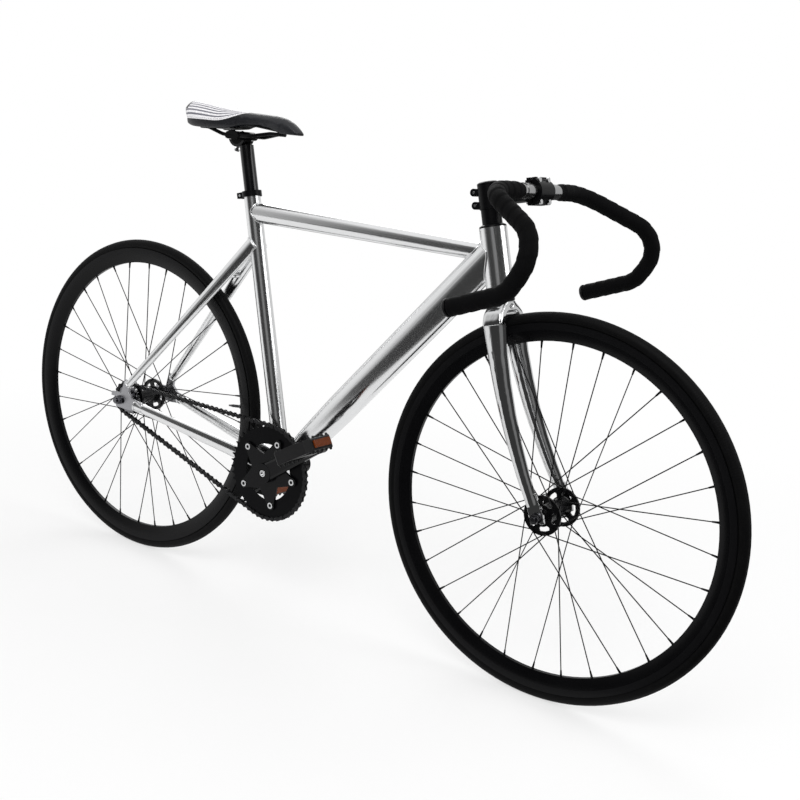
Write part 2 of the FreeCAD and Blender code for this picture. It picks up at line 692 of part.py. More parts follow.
rocker_round = rod("Rocker", 2 * rocker, S.cradle_width, cradle_place)
rocker_top = block("RockerTop", 60, 60, 40, Placement(ROCK - UP * 0.2, Rotation()))
rocker_half = cut("RockerHalf", rocker_round, rocker_top)
lower_blank = fuse("LowerClampBlank", lower_clamp, rocker_half)
keep(cut("LowerClampGrooved", lower_blank, rails, clamp_bolt), "saddle_clamp_lower")
keep(clamp_bolt, "saddle_clamp_bolt")

# Saddle: stations from nose to tail, as shares of length, half width, underside arch and height
SADDLE = [(0.0, 0.15, 0.0, 0.13, 0.0), (0.025, 0.22, 0.0, 0.24, 0.0), (0.07, 0.26, 0.0, 0.40, 0.0),
          (0.15, 0.28, 0.1, 0.58, 0.0), (0.30, 0.30, 0.6, 0.67, 0.0), (0.44, 0.38, 1.0, 0.71, 0.2),
          (0.58, 0.57, 1.0, 0.75, 0.7), (0.73, 0.85, 0.8, 0.85, 1.0), (0.87, 1.0, 0.8, 0.97, 1.0),
          (0.96, 0.82, 1.1, 1.0, 1.0), (1.0, 0.55, 1.8, 0.9, 0.8)]


def saddle_station(share, broad, arch, high, sunk):
    x = post_head.x + v("saddle_nose_reach") - v("saddle_length") * share
    low = post_head.z + v("saddle_base")
    base, top = low + v("saddle_arch") * arch, low + v("saddle_height") * high
    return x, v("saddle_width") / 2 * broad, base, top, sunk


def cover_section(x, half, base, top, sunk):
    """Two crowned halves with a channel between them, on sides that draw in towards the base."""
    tuck, shoulder = 0.8 * half, base + 0.5 * (top - base)
    crown = top - 0.2 * (1 - sunk) * (top - shoulder)
    low_left, low_right = Vector(x, tuck, base), Vector(x, -tuck, base)
    left, right_side = Vector(x, half, shoulder), Vector(x, -half, shoulder)
    middle = Vector(x, 0, top - v("saddle_channel") * sunk)
    return Part.Wire([
        Part.LineSegment(low_right, low_left).toShape(), Part.LineSegment(low_left, left).toShape(),
        Part.Arc(left, Vector(x, 0.55 * half, crown), middle).toShape(),
        Part.Arc(middle, Vector(x, -0.55 * half, crown), right_side).toShape(),
        Part.LineSegment(right_side, low_right).toShape()])


def shell_section(x, half, base, top, sunk):
    edge, under, seat = 0.74 * half, base - v("shell_thickness"), base - 0.3
    corners = [Vector(x, -edge, seat), Vector(x, edge, seat), Vector(x, 0.9 * edge, under),
               Vector(x, -0.9 * edge, under)]
    return Part.makePolygon(corners + corners[:1])


saddle_stations = [saddle_station(*station) for station in SADDLE]
keep(solid_of("SaddleCover", Part.makeLoft([cover_section(*s) for s in saddle_stations], True, False)),
     "saddle_cover")
keep(solid_of("SaddleShell", Part.makeLoft([shell_section(*s) for s in saddle_stations], True, False)),
     "saddle_shell")

# Fork: crown and steerer in one, two blades that curve forward, two tips
crown_top = head_foot - v("race_height")
stack = {"cover": head_top, "spacers": head_top + v("cover_height")}
stack["stem"] = stack["spacers"] + 2 * v("spacer_height")
stack["cap"] = stack["stem"] + v("stem_height")
leg_out, leg_in = S.crown_width / 2, S.crown_gap / 2
crown = plate("Crown", [[
    (-15, 0), (-leg_out + 19, -7), (-leg_out + 7, -17), (-leg_out, -31), (-leg_out, -S.crown_leg),
    (-leg_in, -S.crown_leg), (-leg_in, -S.crown_height - 7), (-leg_in + 7, -S.crown_height),
    (leg_in - 7, -S.crown_height), (leg_in, -S.crown_height - 7), (leg_in, -S.crown_leg),
    (leg_out, -S.crown_leg), (leg_out, -31), (leg_out - 7, -17), (leg_out - 19, -7), (15, 0)]],
    S.crown_depth, aimed(steer_at(crown_top, -v("crown_depth") / 2), AHEAD, STEER),
    [(0, -S.crown_height / 2, S.brake_hole_diameter)])
rounded(crown, S.crown_rounding,
        lambda edge: edge.BoundBox.ZLength < 0.1 and abs(edge.BoundBox.Center.x) > 8)
steerer_length = stack["cap"] - 2 - crown_top
steerer = rod("Steerer", S.steerer_diameter, steerer_length, aimed(steer_at(crown_top), STEER))
keep(cut("ForkCrown", fuse("CrownAndSteerer", crown, steerer),
         rod("SteererBore", S.steerer_bore, steerer_length, aimed(steer_at(crown_top + 4), STEER))),
     "fork_crown")

blade_top = crown_top - v("crown_leg")
blade_foot = 20
leg_middle = (v("crown_width") + v("crown_gap")) / 4
tip_middle = v("fork_spacing") / 2 + v("fork_tip_thickness") / 2


def blade_station(share):
    """Blade centre, direction and section, share 0 at the crown and 1 at the tip."""
    along = blade_top + (blade_foot - blade_top) * share
    ahead = v("fork_rake") * (1 - along / blade_top) ** 2
    slope = -2 * v("fork_rake") * (1 - along / blade_top) / blade_top
    spread = leg_middle + (tip_middle - leg_middle) * share
    depth = v("blade_top_depth") + (v("blade_tip_depth") - v("blade_top_depth")) * share ** 0.7
    width = v("blade_top_width") + (v("blade_tip_width") - v("blade_top_width")) * share
    return steer_at(along, ahead, -spread), -STEER - AHEAD * slope, depth, width


fork_slot = S.fork_slot_width / 2
fork_tip = plate("ForkTip", [[
    (-19, 40), (2, 40), (12, 8), (12, -11), (fork_slot, -11), (fork_slot, fork_slot),
    (-fork_slot, fork_slot), (-fork_slot, -11), (-12, -11), (-14, 8)]], S.fork_tip_thickness,
    aimed(FRONT_AXLE + right(v("fork_spacing") / 2), -LEFT, STEER))
blade_skin = oval_tube("BladeSkin", [blade_station(share / 6) for share in range(7)], 16,
                       v("blade_wall"))
blade = cut("Blade", blade_skin, fork_tip)
keep(blade, "fork_blade_right")
keep(mirrored("BladeLeft", blade), "fork_blade_left")
keep(pair("ForkTips", fork_tip), "fork_tips")

# Headset rings and spacers on the steerer
ring_bore, ring_out = S.steerer_diameter / 2, S.spacer_diameter / 2
race = turned("CrownRace", [[
    (ring_bore, 0), (outside - 1, 0), (outside - 0.5, S.race_height - 0.5),
    (ring_bore, S.race_height - 0.5)]],
    aimed(steer_at(crown_top), STEER))
cover = turned("TopCover", [[
    (ring_bore, 0.5), (outside - 0.3, 0.5), (outside - 0.8, S.cover_height / 2), (ring_out, S.cover_height),
    (ring_bore, S.cover_height)]], aimed(steer_at(stack["cover"]), STEER))
spacer = turned("Spacer", [[
    (ring_bore, 0), (ring_out, 0), (ring_out, S.spacer_height), (ring_bore, S.spacer_height)]],
    aimed(steer_at(stack["spacers"]), STEER))
doc.recompute()
upper_spacer = spacer.Shape.copy()
upper_spacer.translate(STEER * v("spacer_height"))
keep(solid_of("HeadsetRings", Part.makeCompound([
    race.Shape.copy(), cover.Shape.copy(), spacer.Shape.copy(), upper_spacer])), "headset_spacers")

# Stem: clamps the steerer behind and the bar in front, its arm dropping a little
stem_middle = steer_at(stack["stem"] + v("stem_height") / 2)
drop = math.radians(v("stem_drop"))
ARM = AHEAD * math.cos(drop) - STEER * math.sin(drop)
ARM_UP = STEER * math.cos(drop) + AHEAD * math.sin(drop)
BAR = stem_middle + ARM * v("stem_reach")


def on_stem(up, left, ahead):
    """Place measured from the middle of the bar clamp, local z along the arm."""
    return Placement(BAR + ARM_UP * up + LEFT * left + ARM * ahead, aimed(BAR, ARM).Rotation)


def on_sleeve(up, left, ahead, turn=Rotation()):
    """Place measured from the middle of the steerer clamp, local z ahead."""
    spot = stem_middle + STEER * up + LEFT * left + AHEAD * ahead
    return Placement(spot, aimed(BAR, AHEAD).Rotation * turn)


clamp_out = S.bar_clamp_diameter + 2 * S.clamp_wall
clamp_half = v("bar_clamp_width") / 2
bar_hole = S.bar_clamp_diameter + 2 * S.running_clearance
bolt_up = v("bar_clamp_diameter") / 2 + 4.6
bolt_side = v("clamp_bolt_spread") / 2
pinch_back = -v("steerer_diameter") / 2 - v("stem_wall") - 5


def clamp_blank(name):
    return fuse(name, rod("ClampRound", clamp_out, S.bar_clamp_width, sideways(BAR - right(clamp_half))),
                block("ClampEars", 2 * bolt_up + 9, S.bar_clamp_width, 17, on_stem(0, 0, -8.5)))


def face_bolt(up, left):
    shank = rod("FaceShank", S.stem_bolt_diameter, 22, on_stem(up, left, -14))
    head = rod("FaceHead", S.stem_bolt_head, S.stem_bolt_diameter, on_stem(up, left, 8))
    return fuse("FaceBolt", shank, head)


def pinch_bolt(up):
    across = Rotation(FORWARD, -90)
    shank = rod("PinchShank", S.stem_bolt_diameter, 22, on_sleeve(up, -11, pinch_back, across))
    head = rod("PinchHead", S.stem_bolt_head, S.stem_bolt_diameter, on_sleeve(up, 11, pinch_back, across))
    return fuse("PinchBolt", shank, head)


stem_bolts = [face_bolt(up, left) for up in (-bolt_up, bolt_up) for left in (-bolt_side, bolt_side)]
stem_bolts += [pinch_bolt(up) for up in (-11, 11)]
bolt_tool = fuse("StemBoltTool", *stem_bolts)
bar_tool = rod("BarTool", bar_hole, 2 * S.bar_clamp_width, sideways(BAR - right(2 * clamp_half)))
stem_round = S.steerer_diameter + 2 * S.stem_wall
pinch_bosses = []
for up in (-11, 11):
    round_boss = on_sleeve(up, -S.pinch_boss_length.value / 2, pinch_back, Rotation(FORWARD, -90))
    pinch_bosses.append(rod("PinchBoss", S.pinch_boss_diameter, S.pinch_boss_length, round_boss))
    pinch_bosses.append(block("PinchNeck", 9, S.pinch_boss_length, 12, on_sleeve(up, 0, pinch_back)))
stem_blank = fuse(
    "StemBlank", clamp_blank("StemClamp"),
    rod("StemSleeve", stem_round, S.stem_height, aimed(steer_at(stack["stem"]), STEER)),
    rod("StemArm", S.stem_arm_diameter, S.stem_reach, aimed(stem_middle, ARM)),
    *pinch_bosses)
keep(cut("Stem", stem_blank, rod("StemBore", S.steerer_diameter, 2 * S.stem_height,
                                 aimed(steer_at(stack["stem"] - v("stem_height") / 2), STEER)),
         bar_tool, block("FrontOff", 90, 90, 60, on_stem(0, 0, -v("clamp_split") / 2)),
         block("PinchSlit", 90, 2.5, 22, on_sleeve(0, 0, pinch_back - 8)), bolt_tool), "stem")
keep(cut("Faceplate", clamp_blank("FaceBlank"), bar_tool,
         block("BackOff", 90, 90, 60, on_stem(0, 0, v("clamp_split") / 2 - 60)), bolt_tool),
     "stem_faceplate")
keep(bolt_tool, "stem_bolts")
cap_bore, cap_out = S.steerer_bore / 2 - 0.2, stem_round / 2
keep(turned("StemCap", [[
    (0, -10), (cap_bore, -10), (cap_bore, 0), (cap_out, 0), (cap_out, S.cap_height - 2),
    (cap_out - 3, S.cap_height), (5, S.cap_height), (4, S.cap_height - 3), (0, S.cap_height - 3)]],
    aimed(steer_at(stack["cap"]), STEER)), "stem_cap")

# Drop bar: straight middle, corner, ramp, hook and end, with tape round each side
bar_left = [Vector(0, v("bar_corner"), 0), Vector(v("bar_reach"), v("bar_half_width"), -v("bar_ramp_drop")),
            Vector(v("bar_hook_reach"), v("bar_half_width"), -v("bar_hook_drop")),
            Vector(v("bar_end_reach"), v("bar_half_width"), -v("bar_drop"))]
bar_bends = [v("bar_corner_bend"), v("bar_ramp_bend"), v("bar_hook_bend")]
left_corners = [BAR + point for point in bar_left]
right_corners = [BAR + Vector(point.x, -point.y, point.z) for point in reversed(bar_left)]
bar_inside = v("bar_diameter") - 2 * v("bar_wall")
bar = bent_tube("Bar", right_corners + left_corners, bar_bends[::-1] + bar_bends, v("bar_diameter"),
                bar_inside)
sleeve_half = v("tape_start") - 8
sleeve_place = sideways(BAR - right(sleeve_half))
sleeve = cut("Sleeve", rod("SleeveOutside", S.bar_clamp_diameter, 2 * sleeve_half, sleeve_place),
             rod("SleeveInside", S.bar_diameter, 2 * sleeve_half, sleeve_place))
keep(fuse("Handlebar", bar, sleeve), "handlebar")

tape_corners = [BAR + right(v("tape_start"))] + right_corners[::-1]
tape_bore = v("bar_diameter") + 2 * v("tape_clearance")
tape_out = tape_bore + 2 * v("tape_thickness")
tape = bent_tube("Tape", tape_corners, bar_bends, tape_out, tape_bore)
keep(tape, "bar_tape_right")
keep(mirrored("TapeLeft", tape), "bar_tape_left")

# Front axle stays with the fork
front_end = S.front_flange_spread / 2 + S.flange_thickness / 2 + S.hub_end
keep(turned("FrontAxle", axle_profile(S.front_axle_diameter, S.fork_spacing, S.fork_tip_thickness, front_end,
                                      front_end), sideways(FRONT_AXLE)), "front_axle")
front_nut = axle_nut("FrontNut", S.front_axle_diameter,
                     sideways(FRONT_AXLE + right(v("fork_spacing") / 2 + v("fork_tip_thickness"))))
keep(pair("FrontNuts", front_nut), "front_axle_nuts")


# Wheels: tyre, deep rim, crossed spokes and a hub with tall drilled flanges
def tyre(name, axle):
    """Round casing, open to the rim between its two beads."""
    ring, tube = S.tyre_radius - S.tyre_width / 2, S.tyre_width / 2

    def wall(radius, degrees):
        turn = math.radians(degrees)
        return ring + radius * math.cos(turn), radius * math.sin(turn)

    outside = [wall(tube, degrees) for degrees in range(-150, 151, 30)]
    inside = [wall(tube - S.tyre_wall, degrees) for degrees in (132, 88, 44, 0, -44, -88, -132)]
    return turned(name, [outside + inside], sideways(axle))


def rim(name, axle):
    half, edge, bed = S.rim_width / 2, S.rim_edge_radius, S.rim_bed_width / 2
    wall, low = S.rim_wall, S.rim_inner_radius
    inside, shoulder = half - wall, edge - 14
    seat = S.tyre_radius - S.tyre_width - S.rim_seat_gap
    outline = [(low, -bed), (low, bed), (shoulder, half), (edge, half), (edge, inside), (seat, inside),
               (seat, -inside), (edge, -inside), (edge, -half), (shoulder, -half)]
    hollow = [(low + 2, -bed + wall), (low + 2, bed - wall), (shoulder, inside), (seat - 2, inside),
              (seat - 2, -inside), (shoulder, -inside)]
    return turned(name, [outline, hollow], sideways(axle))


def hub(name, axle, bore_diameter, spread, end_profile):
    """Barrel with a tall flange at each side; end_profile lists the right end from flange to bore."""
    bore = bore_diameter / 2 + S.running_clearance
    barrel, flange = S.hub_barrel_diameter / 2, S.flange_diameter / 2
    inner, outer = spread / 2 - S.flange_thickness / 2, spread / 2 + S.flange_thickness / 2
    end = outer + S.hub_end
    body = turned(name, [[
        (bore, -end), (barrel - 5, -end), (barrel - 3, -outer), (flange, -outer), (flange, -inner),
        (barrel + 2, -inner), (barrel, -inner + 7), (barrel, inner - 7), (barrel + 2, inner),
        (flange, inner), (flange, outer)] + end_profile + [(bore, end_profile[-1][1])]], sideways(axle))
    middle, half = S.flange_slot_circle / 2, S.flange_slot_width / 2
    slot_turn = math.radians(v("flange_slot_angle") / 2)

    def slot_point(radius, share):
        return radius * math.cos(share * slot_turn), radius * math.sin(share * slot_turn)

    window = sketch_on(body, "XY_Plane", 0)
    closed_outline(window, [
        slot_point(middle + half, -0.8), slot_point(middle + half, 0), slot_point(middle + half, 0.8),
        slot_point(middle, 1), slot_point(middle - half, 0.8), slot_point(middle - half, 0),
        slot_point(middle - half, -0.8), slot_point(middle, -1)])
    patterned(body, pocketed(body, window), S.flange_slot_count)
    return body


def hexagonal(start, end, diameter):
    """Straight six-sided bar between two points."""
    axis = end - start
    place = aimed(start, axis, Vector(0.31, 0.87, 0.38))
    corners = [place.multVec(Vector(diameter / 2 * math.cos(k * math.pi / 3),
                                    diameter / 2 * math.sin(k * math.pi / 3), 0)) for k in range(6)]
    return Part.Face(Part.makePolygon(corners + corners[:1])).extrude(axis)


def spokes(name, axle, spread):
    """Crossed spokes, leading ones inside the flanges and trailing ones outside."""
    count, radius, thick = int(v("spoke_count")), v("spoke_hole_circle") / 2, v("spoke_diameter")
    lean = v("spoke_crosses") * 4 * math.pi / count
    face = v("flange_thickness") / 2 + thick / 2 + 0.15
    rim_radius, flange = v("rim_inner_radius") - 0.25, v("flange_diameter") / 2
    # Share of a spoke's length at which it passes the edge of the flange
    mixed = radius * rim_radius * math.cos(lean)
    a = radius ** 2 + rim_radius ** 2 - 2 * mixed
    b = 2 * mixed - 2 * radius ** 2
    share = (-b + math.sqrt(b * b - 4 * a * (radius ** 2 - (flange + thick) ** 2))) / (2 * a)
    rim_side = v("rim_bed_width") / 4
    solids = []
    for index in range(count):
        side = 1 if index % 2 else -1
        outer = (index // 2) % 2
        angle = 2 * math.pi * index / count
        hub_angle = angle - lean if outer else angle + lean
        height = spread / 2 - face
        if outer:
            height = (spread / 2 + face - share * rim_side) / (1 - share)
        at_hub = Vector(radius * math.cos(hub_angle), -side * height, radius * math.sin(hub_angle))
        at_rim = Vector(rim_radius * math.cos(angle), -side * rim_side, rim_radius * math.sin(angle))
        solids.append(hexagonal(axle + at_hub, axle + at_rim, thick))
    return solid_of(name, Part.makeCompound(solids))


keep(tyre("FrontTyre", FRONT_AXLE), "front_tyre")
keep(rim("FrontRim", FRONT_AXLE), "front_rim")
keep(spokes("FrontSpokes", FRONT_AXLE, v("front_flange_spread")), "front_spokes")
barrel_end = S.hub_barrel_diameter / 2
front_outer = S.front_flange_spread / 2 + S.flange_thickness / 2
keep(hub("FrontHub", FRONT_AXLE, S.front_axle_diameter, S.front_flange_spread, [
    (barrel_end - 3, front_outer), (barrel_end - 5, front_end)]), "front_hub")

keep(tyre("RearTyre", REAR_AXLE), "rear_tyre")
keep(rim("RearRim", REAR_AXLE), "rear_rim")
keep(spokes("RearSpokes", REAR_AXLE, v("rear_flange_spread")), "rear_spokes")
rear_outer = S.rear_flange_spread / 2 + S.flange_thickness / 2
cog_inner = S.chain_line - S.sprocket_thickness / 2
cog_outer = S.chain_line + S.sprocket_thickness / 2
boss, thread = S.cog_boss_diameter / 2, S.lockring_thread / 2
keep(hub("RearHub", REAR_AXLE, S.rear_axle_diameter, S.rear_flange_spread, [
    (boss + 2, rear_outer), (boss + 2, cog_inner), (boss, cog_inner), (boss, cog_outer), (thread, cog_outer),
    (thread, hub_right)]), "rear_hub")
keep(turned("Lockring", [[
    (thread, cog_outer), (S.lockring_diameter / 2, cog_outer),
    (S.lockring_diameter / 2, cog_outer + S.lockring_thickness - 1),
    (S.lockring_diameter / 2 - 2, cog_outer + S.lockring_thickness),
    (thread, cog_outer + S.lockring_thickness)]], sideways(REAR_AXLE)), "rear_lockring")


# Chain: pins sit on both pitch circles and along the straight runs between them
LINKS, LEAN, RUN = chain_stretch(CENTRES)
LINE = math.atan2(CRANK.z - REAR_AXLE.z, CRANK.x - REAR_AXLE.x)
CRANK_TURN = math.radians(v("crank_angle"))


def chain_pin(step):
    """Point and running direction of a pin, counted in links from the crank arm up over the ring."""
    ring_step, cog_step = 2 * math.pi / v("ring_teeth"), 2 * math.pi / v("cog_teeth")
    leave, back = LINE + math.pi / 2 + LEAN, LINE - math.pi / 2 - LEAN
    first, straight = (leave - CRANK_TURN) / ring_step, RUN
    around = (math.pi - 2 * LEAN) / cog_step
    if step <= first:
        angle = CRANK_TURN + step * ring_step
        return ring_point(CRANK, RING_RADIUS, angle)
    step -= first
    if step <= straight:
        start = ring_point(CRANK, RING_RADIUS, leave)[0]
        finish = ring_point(REAR_AXLE, COG_RADIUS, leave)[0]
        return start + (finish - start) * (step / straight), leave
    step -= straight
    if step <= around:
        return ring_point(REAR_AXLE, COG_RADIUS, leave + step * cog_step)
    step -= around
    if step <= straight:
        start = ring_point(REAR_AXLE, COG_RADIUS, back)[0]
        finish = ring_point(CRANK, RING_RADIUS, back)[0]
        return start + (finish - start) * (step / straight), back
    step -= straight
    return ring_point(CRANK, RING_RADIUS, back + step * ring_step)


def ring_point(centre, radius, angle):
    return centre + Vector(radius * math.cos(angle), 0, radius * math.sin(angle)), angle


PINS = [chain_pin(step)[0] for step in range(int(v("chain_links")))]


def link_plate(first, second, inner_face, side):
    """Chain plate with pointed ends, standing on one side of the chain line."""
    along = second - first
    length = along.Length
    along = along.normalize()
    above = along.cross(LEFT)
    half = v("plate_height") / 2
    nose = half / 2
    outline = [(-nose, -half), (length + nose, -half), (length + half, 0), (length + nose, half),
               (-nose, half), (-half, 0)]
    offset = right(v("chain_line") + side * inner_face)
    corners = [first + along * x + above * y + offset for x, y in outline]
    return Part.Face(Part.makePolygon(corners + corners[:1])).extrude(right(side * v("plate_thickness")))


def roller(pin, angle):
    """Six-sided roller across the inner width."""
    radius = v("roller_diameter") / 2
    start = pin + right(v("chain_line") - v("inner_width") / 2)
    turns = [angle + k * math.pi / 3 for k in range(6)]
    corners = [start + Vector(radius * math.cos(turn), 0, radius * math.sin(turn)) for turn in turns]
    return Part.Face(Part.makePolygon(corners + corners[:1])).extrude(right(v("inner_width")))


inner_half = v("inner_width") / 2
outer_half = inner_half + v("plate_thickness") + v("plate_gap")
inner_links, outer_links = [], []
for index, pin in enumerate(PINS):
    following = PINS[(index + 1) % len(PINS)]
    if index % 2 == 0:
        angles = [chain_pin(index)[1], chain_pin(index + 1)[1]]
        rollers = [roller(point, angle) for point, angle in zip((pin, following), angles)]
        sides = [link_plate(pin, following, inner_half, side) for side in (-1, 1)]
        inner_links.append(sides[0].multiFuse(rollers + sides[1:]).removeSplitter())
    else:
        outer_links += [link_plate(pin, following, outer_half, side) for side in (-1, 1)]
keep(solid_of("InnerLinks", Part.makeCompound(inner_links)), "chain_inner_links")
keep(solid_of("OuterLinks", Part.makeCompound(outer_links)), "chain_outer_links")


def sprocket(name, teeth, radius, bore_diameter, place, holes=()):
    """Toothed ring: a blank with one gap, repeated for every tooth."""
    tip = radius + v("tooth_height")
    rounds = [(0, 0, 2 * tip), (0, 0, bore_diameter)] + list(holes)
    blank = plate(name, [], S.sprocket_thickness, place, rounds)
    seat = (v("roller_diameter") / 2 + v("roller_gap")) / math.cos(math.pi / 8)
    reach = math.pi * tip / float(teeth) - v("tooth_land") / 2
    gap = sketch_on(blank, "XY_Plane", 0)
    angles = [math.radians(22.5 + 45 * k) for k in (2, 3, 4, 5)]
    low = [(radius + seat * math.cos(angle), seat * math.sin(angle)) for angle in angles]
    closed_outline(gap, [(tip + 2, reach + 1)] + low + [(tip + 2, -reach - 1)])
    patterned(blank, pocketed(blank, gap), teeth)
    return blank


ring_turn = v("crank_angle")
bolt_spots = [(v("bolt_circle") / 2 * math.cos(math.radians(36 + 72 * k)),
               v("bolt_circle") / 2 * math.sin(math.radians(36 + 72 * k))) for k in range(5)]
ring_back = v("chain_line") - v("sprocket_thickness") / 2
ring_holes = [(x, y, S.ring_bolt_diameter) for x, y in bolt_spots]
keep(sprocket("Chainring", S.ring_teeth, RING_RADIUS, S.ring_bore,
              sideways(CRANK + right(ring_back), ring_turn), ring_holes), "chainring")
cog_steps = (LINE + math.pi / 2 + LEAN - CRANK_TURN) * v("ring_teeth") / (2 * math.pi) + RUN
cog_pin_angle = chain_pin(math.ceil(cog_steps))[1]
keep(sprocket("Cog", S.cog_teeth, COG_RADIUS, S.cog_boss_diameter,
              sideways(REAR_AXLE + right(ring_back), math.degrees(cog_pin_angle))), "rear_cog")

# Spindle and cranks
spindle_half, end_radius = S.spindle_length / 2, S.spindle_end / 2
spindle_radius, crank_face = S.spindle_diameter / 2, S.crank_inner_face
keep(turned("Spindle", [[
    (0, -spindle_half), (end_radius, -spindle_half), (spindle_radius, -crank_face),
    (spindle_radius, crank_face), (end_radius, spindle_half), (0, spindle_half)]], sideways(CRANK)),
    "crank_spindle")
doc.recompute()
spindle = doc.getObject("Spindle")


def arm_section(along, half, middle, thickness, place):
    """Crank arm section with bevelled edges."""
    bevel = 0.3 * thickness
    outline = [(-half + bevel, -1), (half - bevel, -1), (half, -0.5), (half, 0.5), (half - bevel, 1),
               (-half + bevel, 1), (-half, 0.5), (-half, -0.5)]
    corners = [place.multVec(Vector(along, y, middle + z * thickness / 2)) for y, z in outline]
    return Part.makePolygon(corners + corners[:1])


def crank(name, turn, spider):
    """Crank for the right side: boss, tapered arm, pedal eye and, if wanted, the spider."""
    place = sideways(CRANK, turn)
    face, thick, length = v("crank_inner_face"), v("arm_thickness"), v("crank_length")
    root_middle = face + v("crank_boss_thickness") - thick / 2 - 1
    tip_middle = root_middle + v("crank_flare")
    arm = solid_of(name + "Arm", Part.makeLoft([
        arm_section(2, v("arm_root_width") / 2, root_middle, thick, place),
        arm_section(0.3 * length, 0.45 * v("arm_root_width"), root_middle + 1, thick, place),
        arm_section(length, v("arm_tip_width") / 2, tip_middle, thick - 1, place)], True, True))
    eye_start = tip_middle - thick / 2
    pieces = [
        arm, rod(name + "Boss", S.crank_boss_diameter, S.crank_boss_thickness,
                 sideways(CRANK + right(face))),
        rod(name + "Eye", S.eye_diameter, S.arm_thickness,
            place * Placement(Vector(length, 0, eye_start), Rotation()))]
    if spider:
        root, tip, spot = S.spider_root_width / 2, S.spider_tip_width / 2, S.bolt_circle / 2
        star = plate(name + "Spider", [[
            (0, -root), (spot - 4, -tip), (spot + 5, -tip + 2), (spot + 9, -tip + 6), (spot + 9, tip - 6),
            (spot + 5, tip - 2), (spot - 4, tip), (0, root)]], S.spider_thickness,
            sideways(CRANK + right(face), turn + 36))
        patterned(star, star.Tip, 5)
        pieces.append(star)
    hole = place * Placement(Vector(length, 0, eye_start - 1), Rotation())
    recess = rod(name + "Recess", S.crank_bolt_head + 1, S.crank_boss_thickness,
                 sideways(CRANK + right(v("spindle_length") / 2)))
    tools = [spindle, recess, rod(name + "EyeHole", S.pedal_axle_diameter, 2 * S.arm_thickness, hole)]
    return cut(name, fuse(name + "Blank", *pieces), *tools, *(ring_bolts if spider else []))


def ring_bolt(x, y):
    """Bolt through spider and chainring, with a wide head outside and a nut inside."""
    place = sideways(CRANK, ring_turn)
    start = v("chain_line") - v("sprocket_thickness") / 2
    reach = v("crank_inner_face") + v("spider_thickness") - start
    head = v("ring_bolt_head_height")
    steps = [(S.ring_bolt_diameter, reach, start), (S.ring_bolt_head, head, start + reach),
             (S.ring_bolt_head, head, start - head)]
    return fuse("RingBolt", *[
        prism("RingBoltStep", 12, diameter, length, place * Placement(Vector(x, y, z), Rotation()))
        for diameter, length, z in steps])


ring_bolts = [ring_bolt(x, y) for x, y in bolt_spots]
keep(crank("CrankRight", ring_turn, True), "crank_right")
keep(mirrored("CrankLeft", crank("CrankOpposite", ring_turn + 180, False)), "crank_left")
crank_bolt = turned("CrankBolt", [[
    (0, spindle_half), (S.crank_bolt_head / 2, spindle_half), (S.crank_bolt_head / 2, spindle_half + 4),
    (S.crank_bolt_head / 2 - 1, spindle_half + 5), (4, spindle_half + 5), (4, spindle_half + 2),
    (0, spindle_half + 2)]], sideways(CRANK))
crank_bolts = pair("CrankBoltPair", crank_bolt)
doc.recompute()
keep(solid_of("CrankBolts", Part.makeCompound(
    [bolt.Shape.copy() for bolt in ring_bolts] + [crank_bolts.Shape.copy()])), "crank_bolts")

# Pedals turn on axles screwed into the crank eyes
arm_outer = v("crank_inner_face") + v("crank_boss_thickness") - 1 + v("crank_flare")
pedal_start = arm_outer + v("pedal_gap")
eye_back = arm_outer - v("arm_thickness")


def pedal_axle(centre):
    wide, slim = S.pedal_axle_diameter / 2, S.pedal_spindle_diameter / 2
    return turned("PedalAxle", [[
        (0, eye_back), (wide, eye_back), (wide, arm_outer + 0.2), (wide + 2, arm_outer + 0.2),
        (wide + 2, pedal_start - 0.4), (slim, pedal_start - 0.4), (slim, pedal_start + S.pedal_width - 14),
        (0, pedal_start + S.pedal_width - 14)]], sideways(centre))


def pitched(centre, pitch, place):
    """A place turned with its pedal, nose up, about the pedal axle."""
    turn = Placement(centre, Rotation(LEFT, -pitch)) * Placement(-centre, Rotation())
    return turn * place


def pedal(name, centre, pitch):
    """Cage with two windows round a barrel that is bored for the axle."""
    half, near, far = S.pedal_length / 2, -pedal_start, -pedal_start - S.pedal_width
    core, rib, bevel = S.pedal_barrel_diameter / 2, S.pedal_rib, 12
    outline = [(-half + bevel, near), (half - bevel, near), (half, near - bevel), (half, far + bevel),
               (half - bevel, far), (-half + bevel, far), (-half, far + bevel), (-half, near - bevel)]
    windows = [[(a, near - rib), (b, near - rib), (b, far + rib), (a, far + rib)]
               for a, b in ((core - 1, half - rib), (-half + rib, -core + 1))]
    low = Placement(centre - UP * (v("pedal_height") / 2), Rotation())
    cage = plate(name + "Cage", [outline] + windows, S.pedal_height, pitched(centre, pitch, low))
    edge_from = v("pedal_length") / 2 - 1
    rounded(cage, S.pedal_rounding,
            lambda edge: abs(edge.BoundBox.Center.x) > edge_from and edge.BoundBox.YLength > 20)
    barrel = rod(name + "Barrel", S.pedal_barrel_diameter, S.pedal_width,
                 sideways(centre + right(pedal_start)))
    bore = rod(name + "Bore", S.pedal_spindle_diameter + 2 * S.running_clearance, S.pedal_width - 13,
               sideways(centre + right(pedal_start - 1)))
    return cut(name, fuse(name + "Blank", cage, barrel), bore)


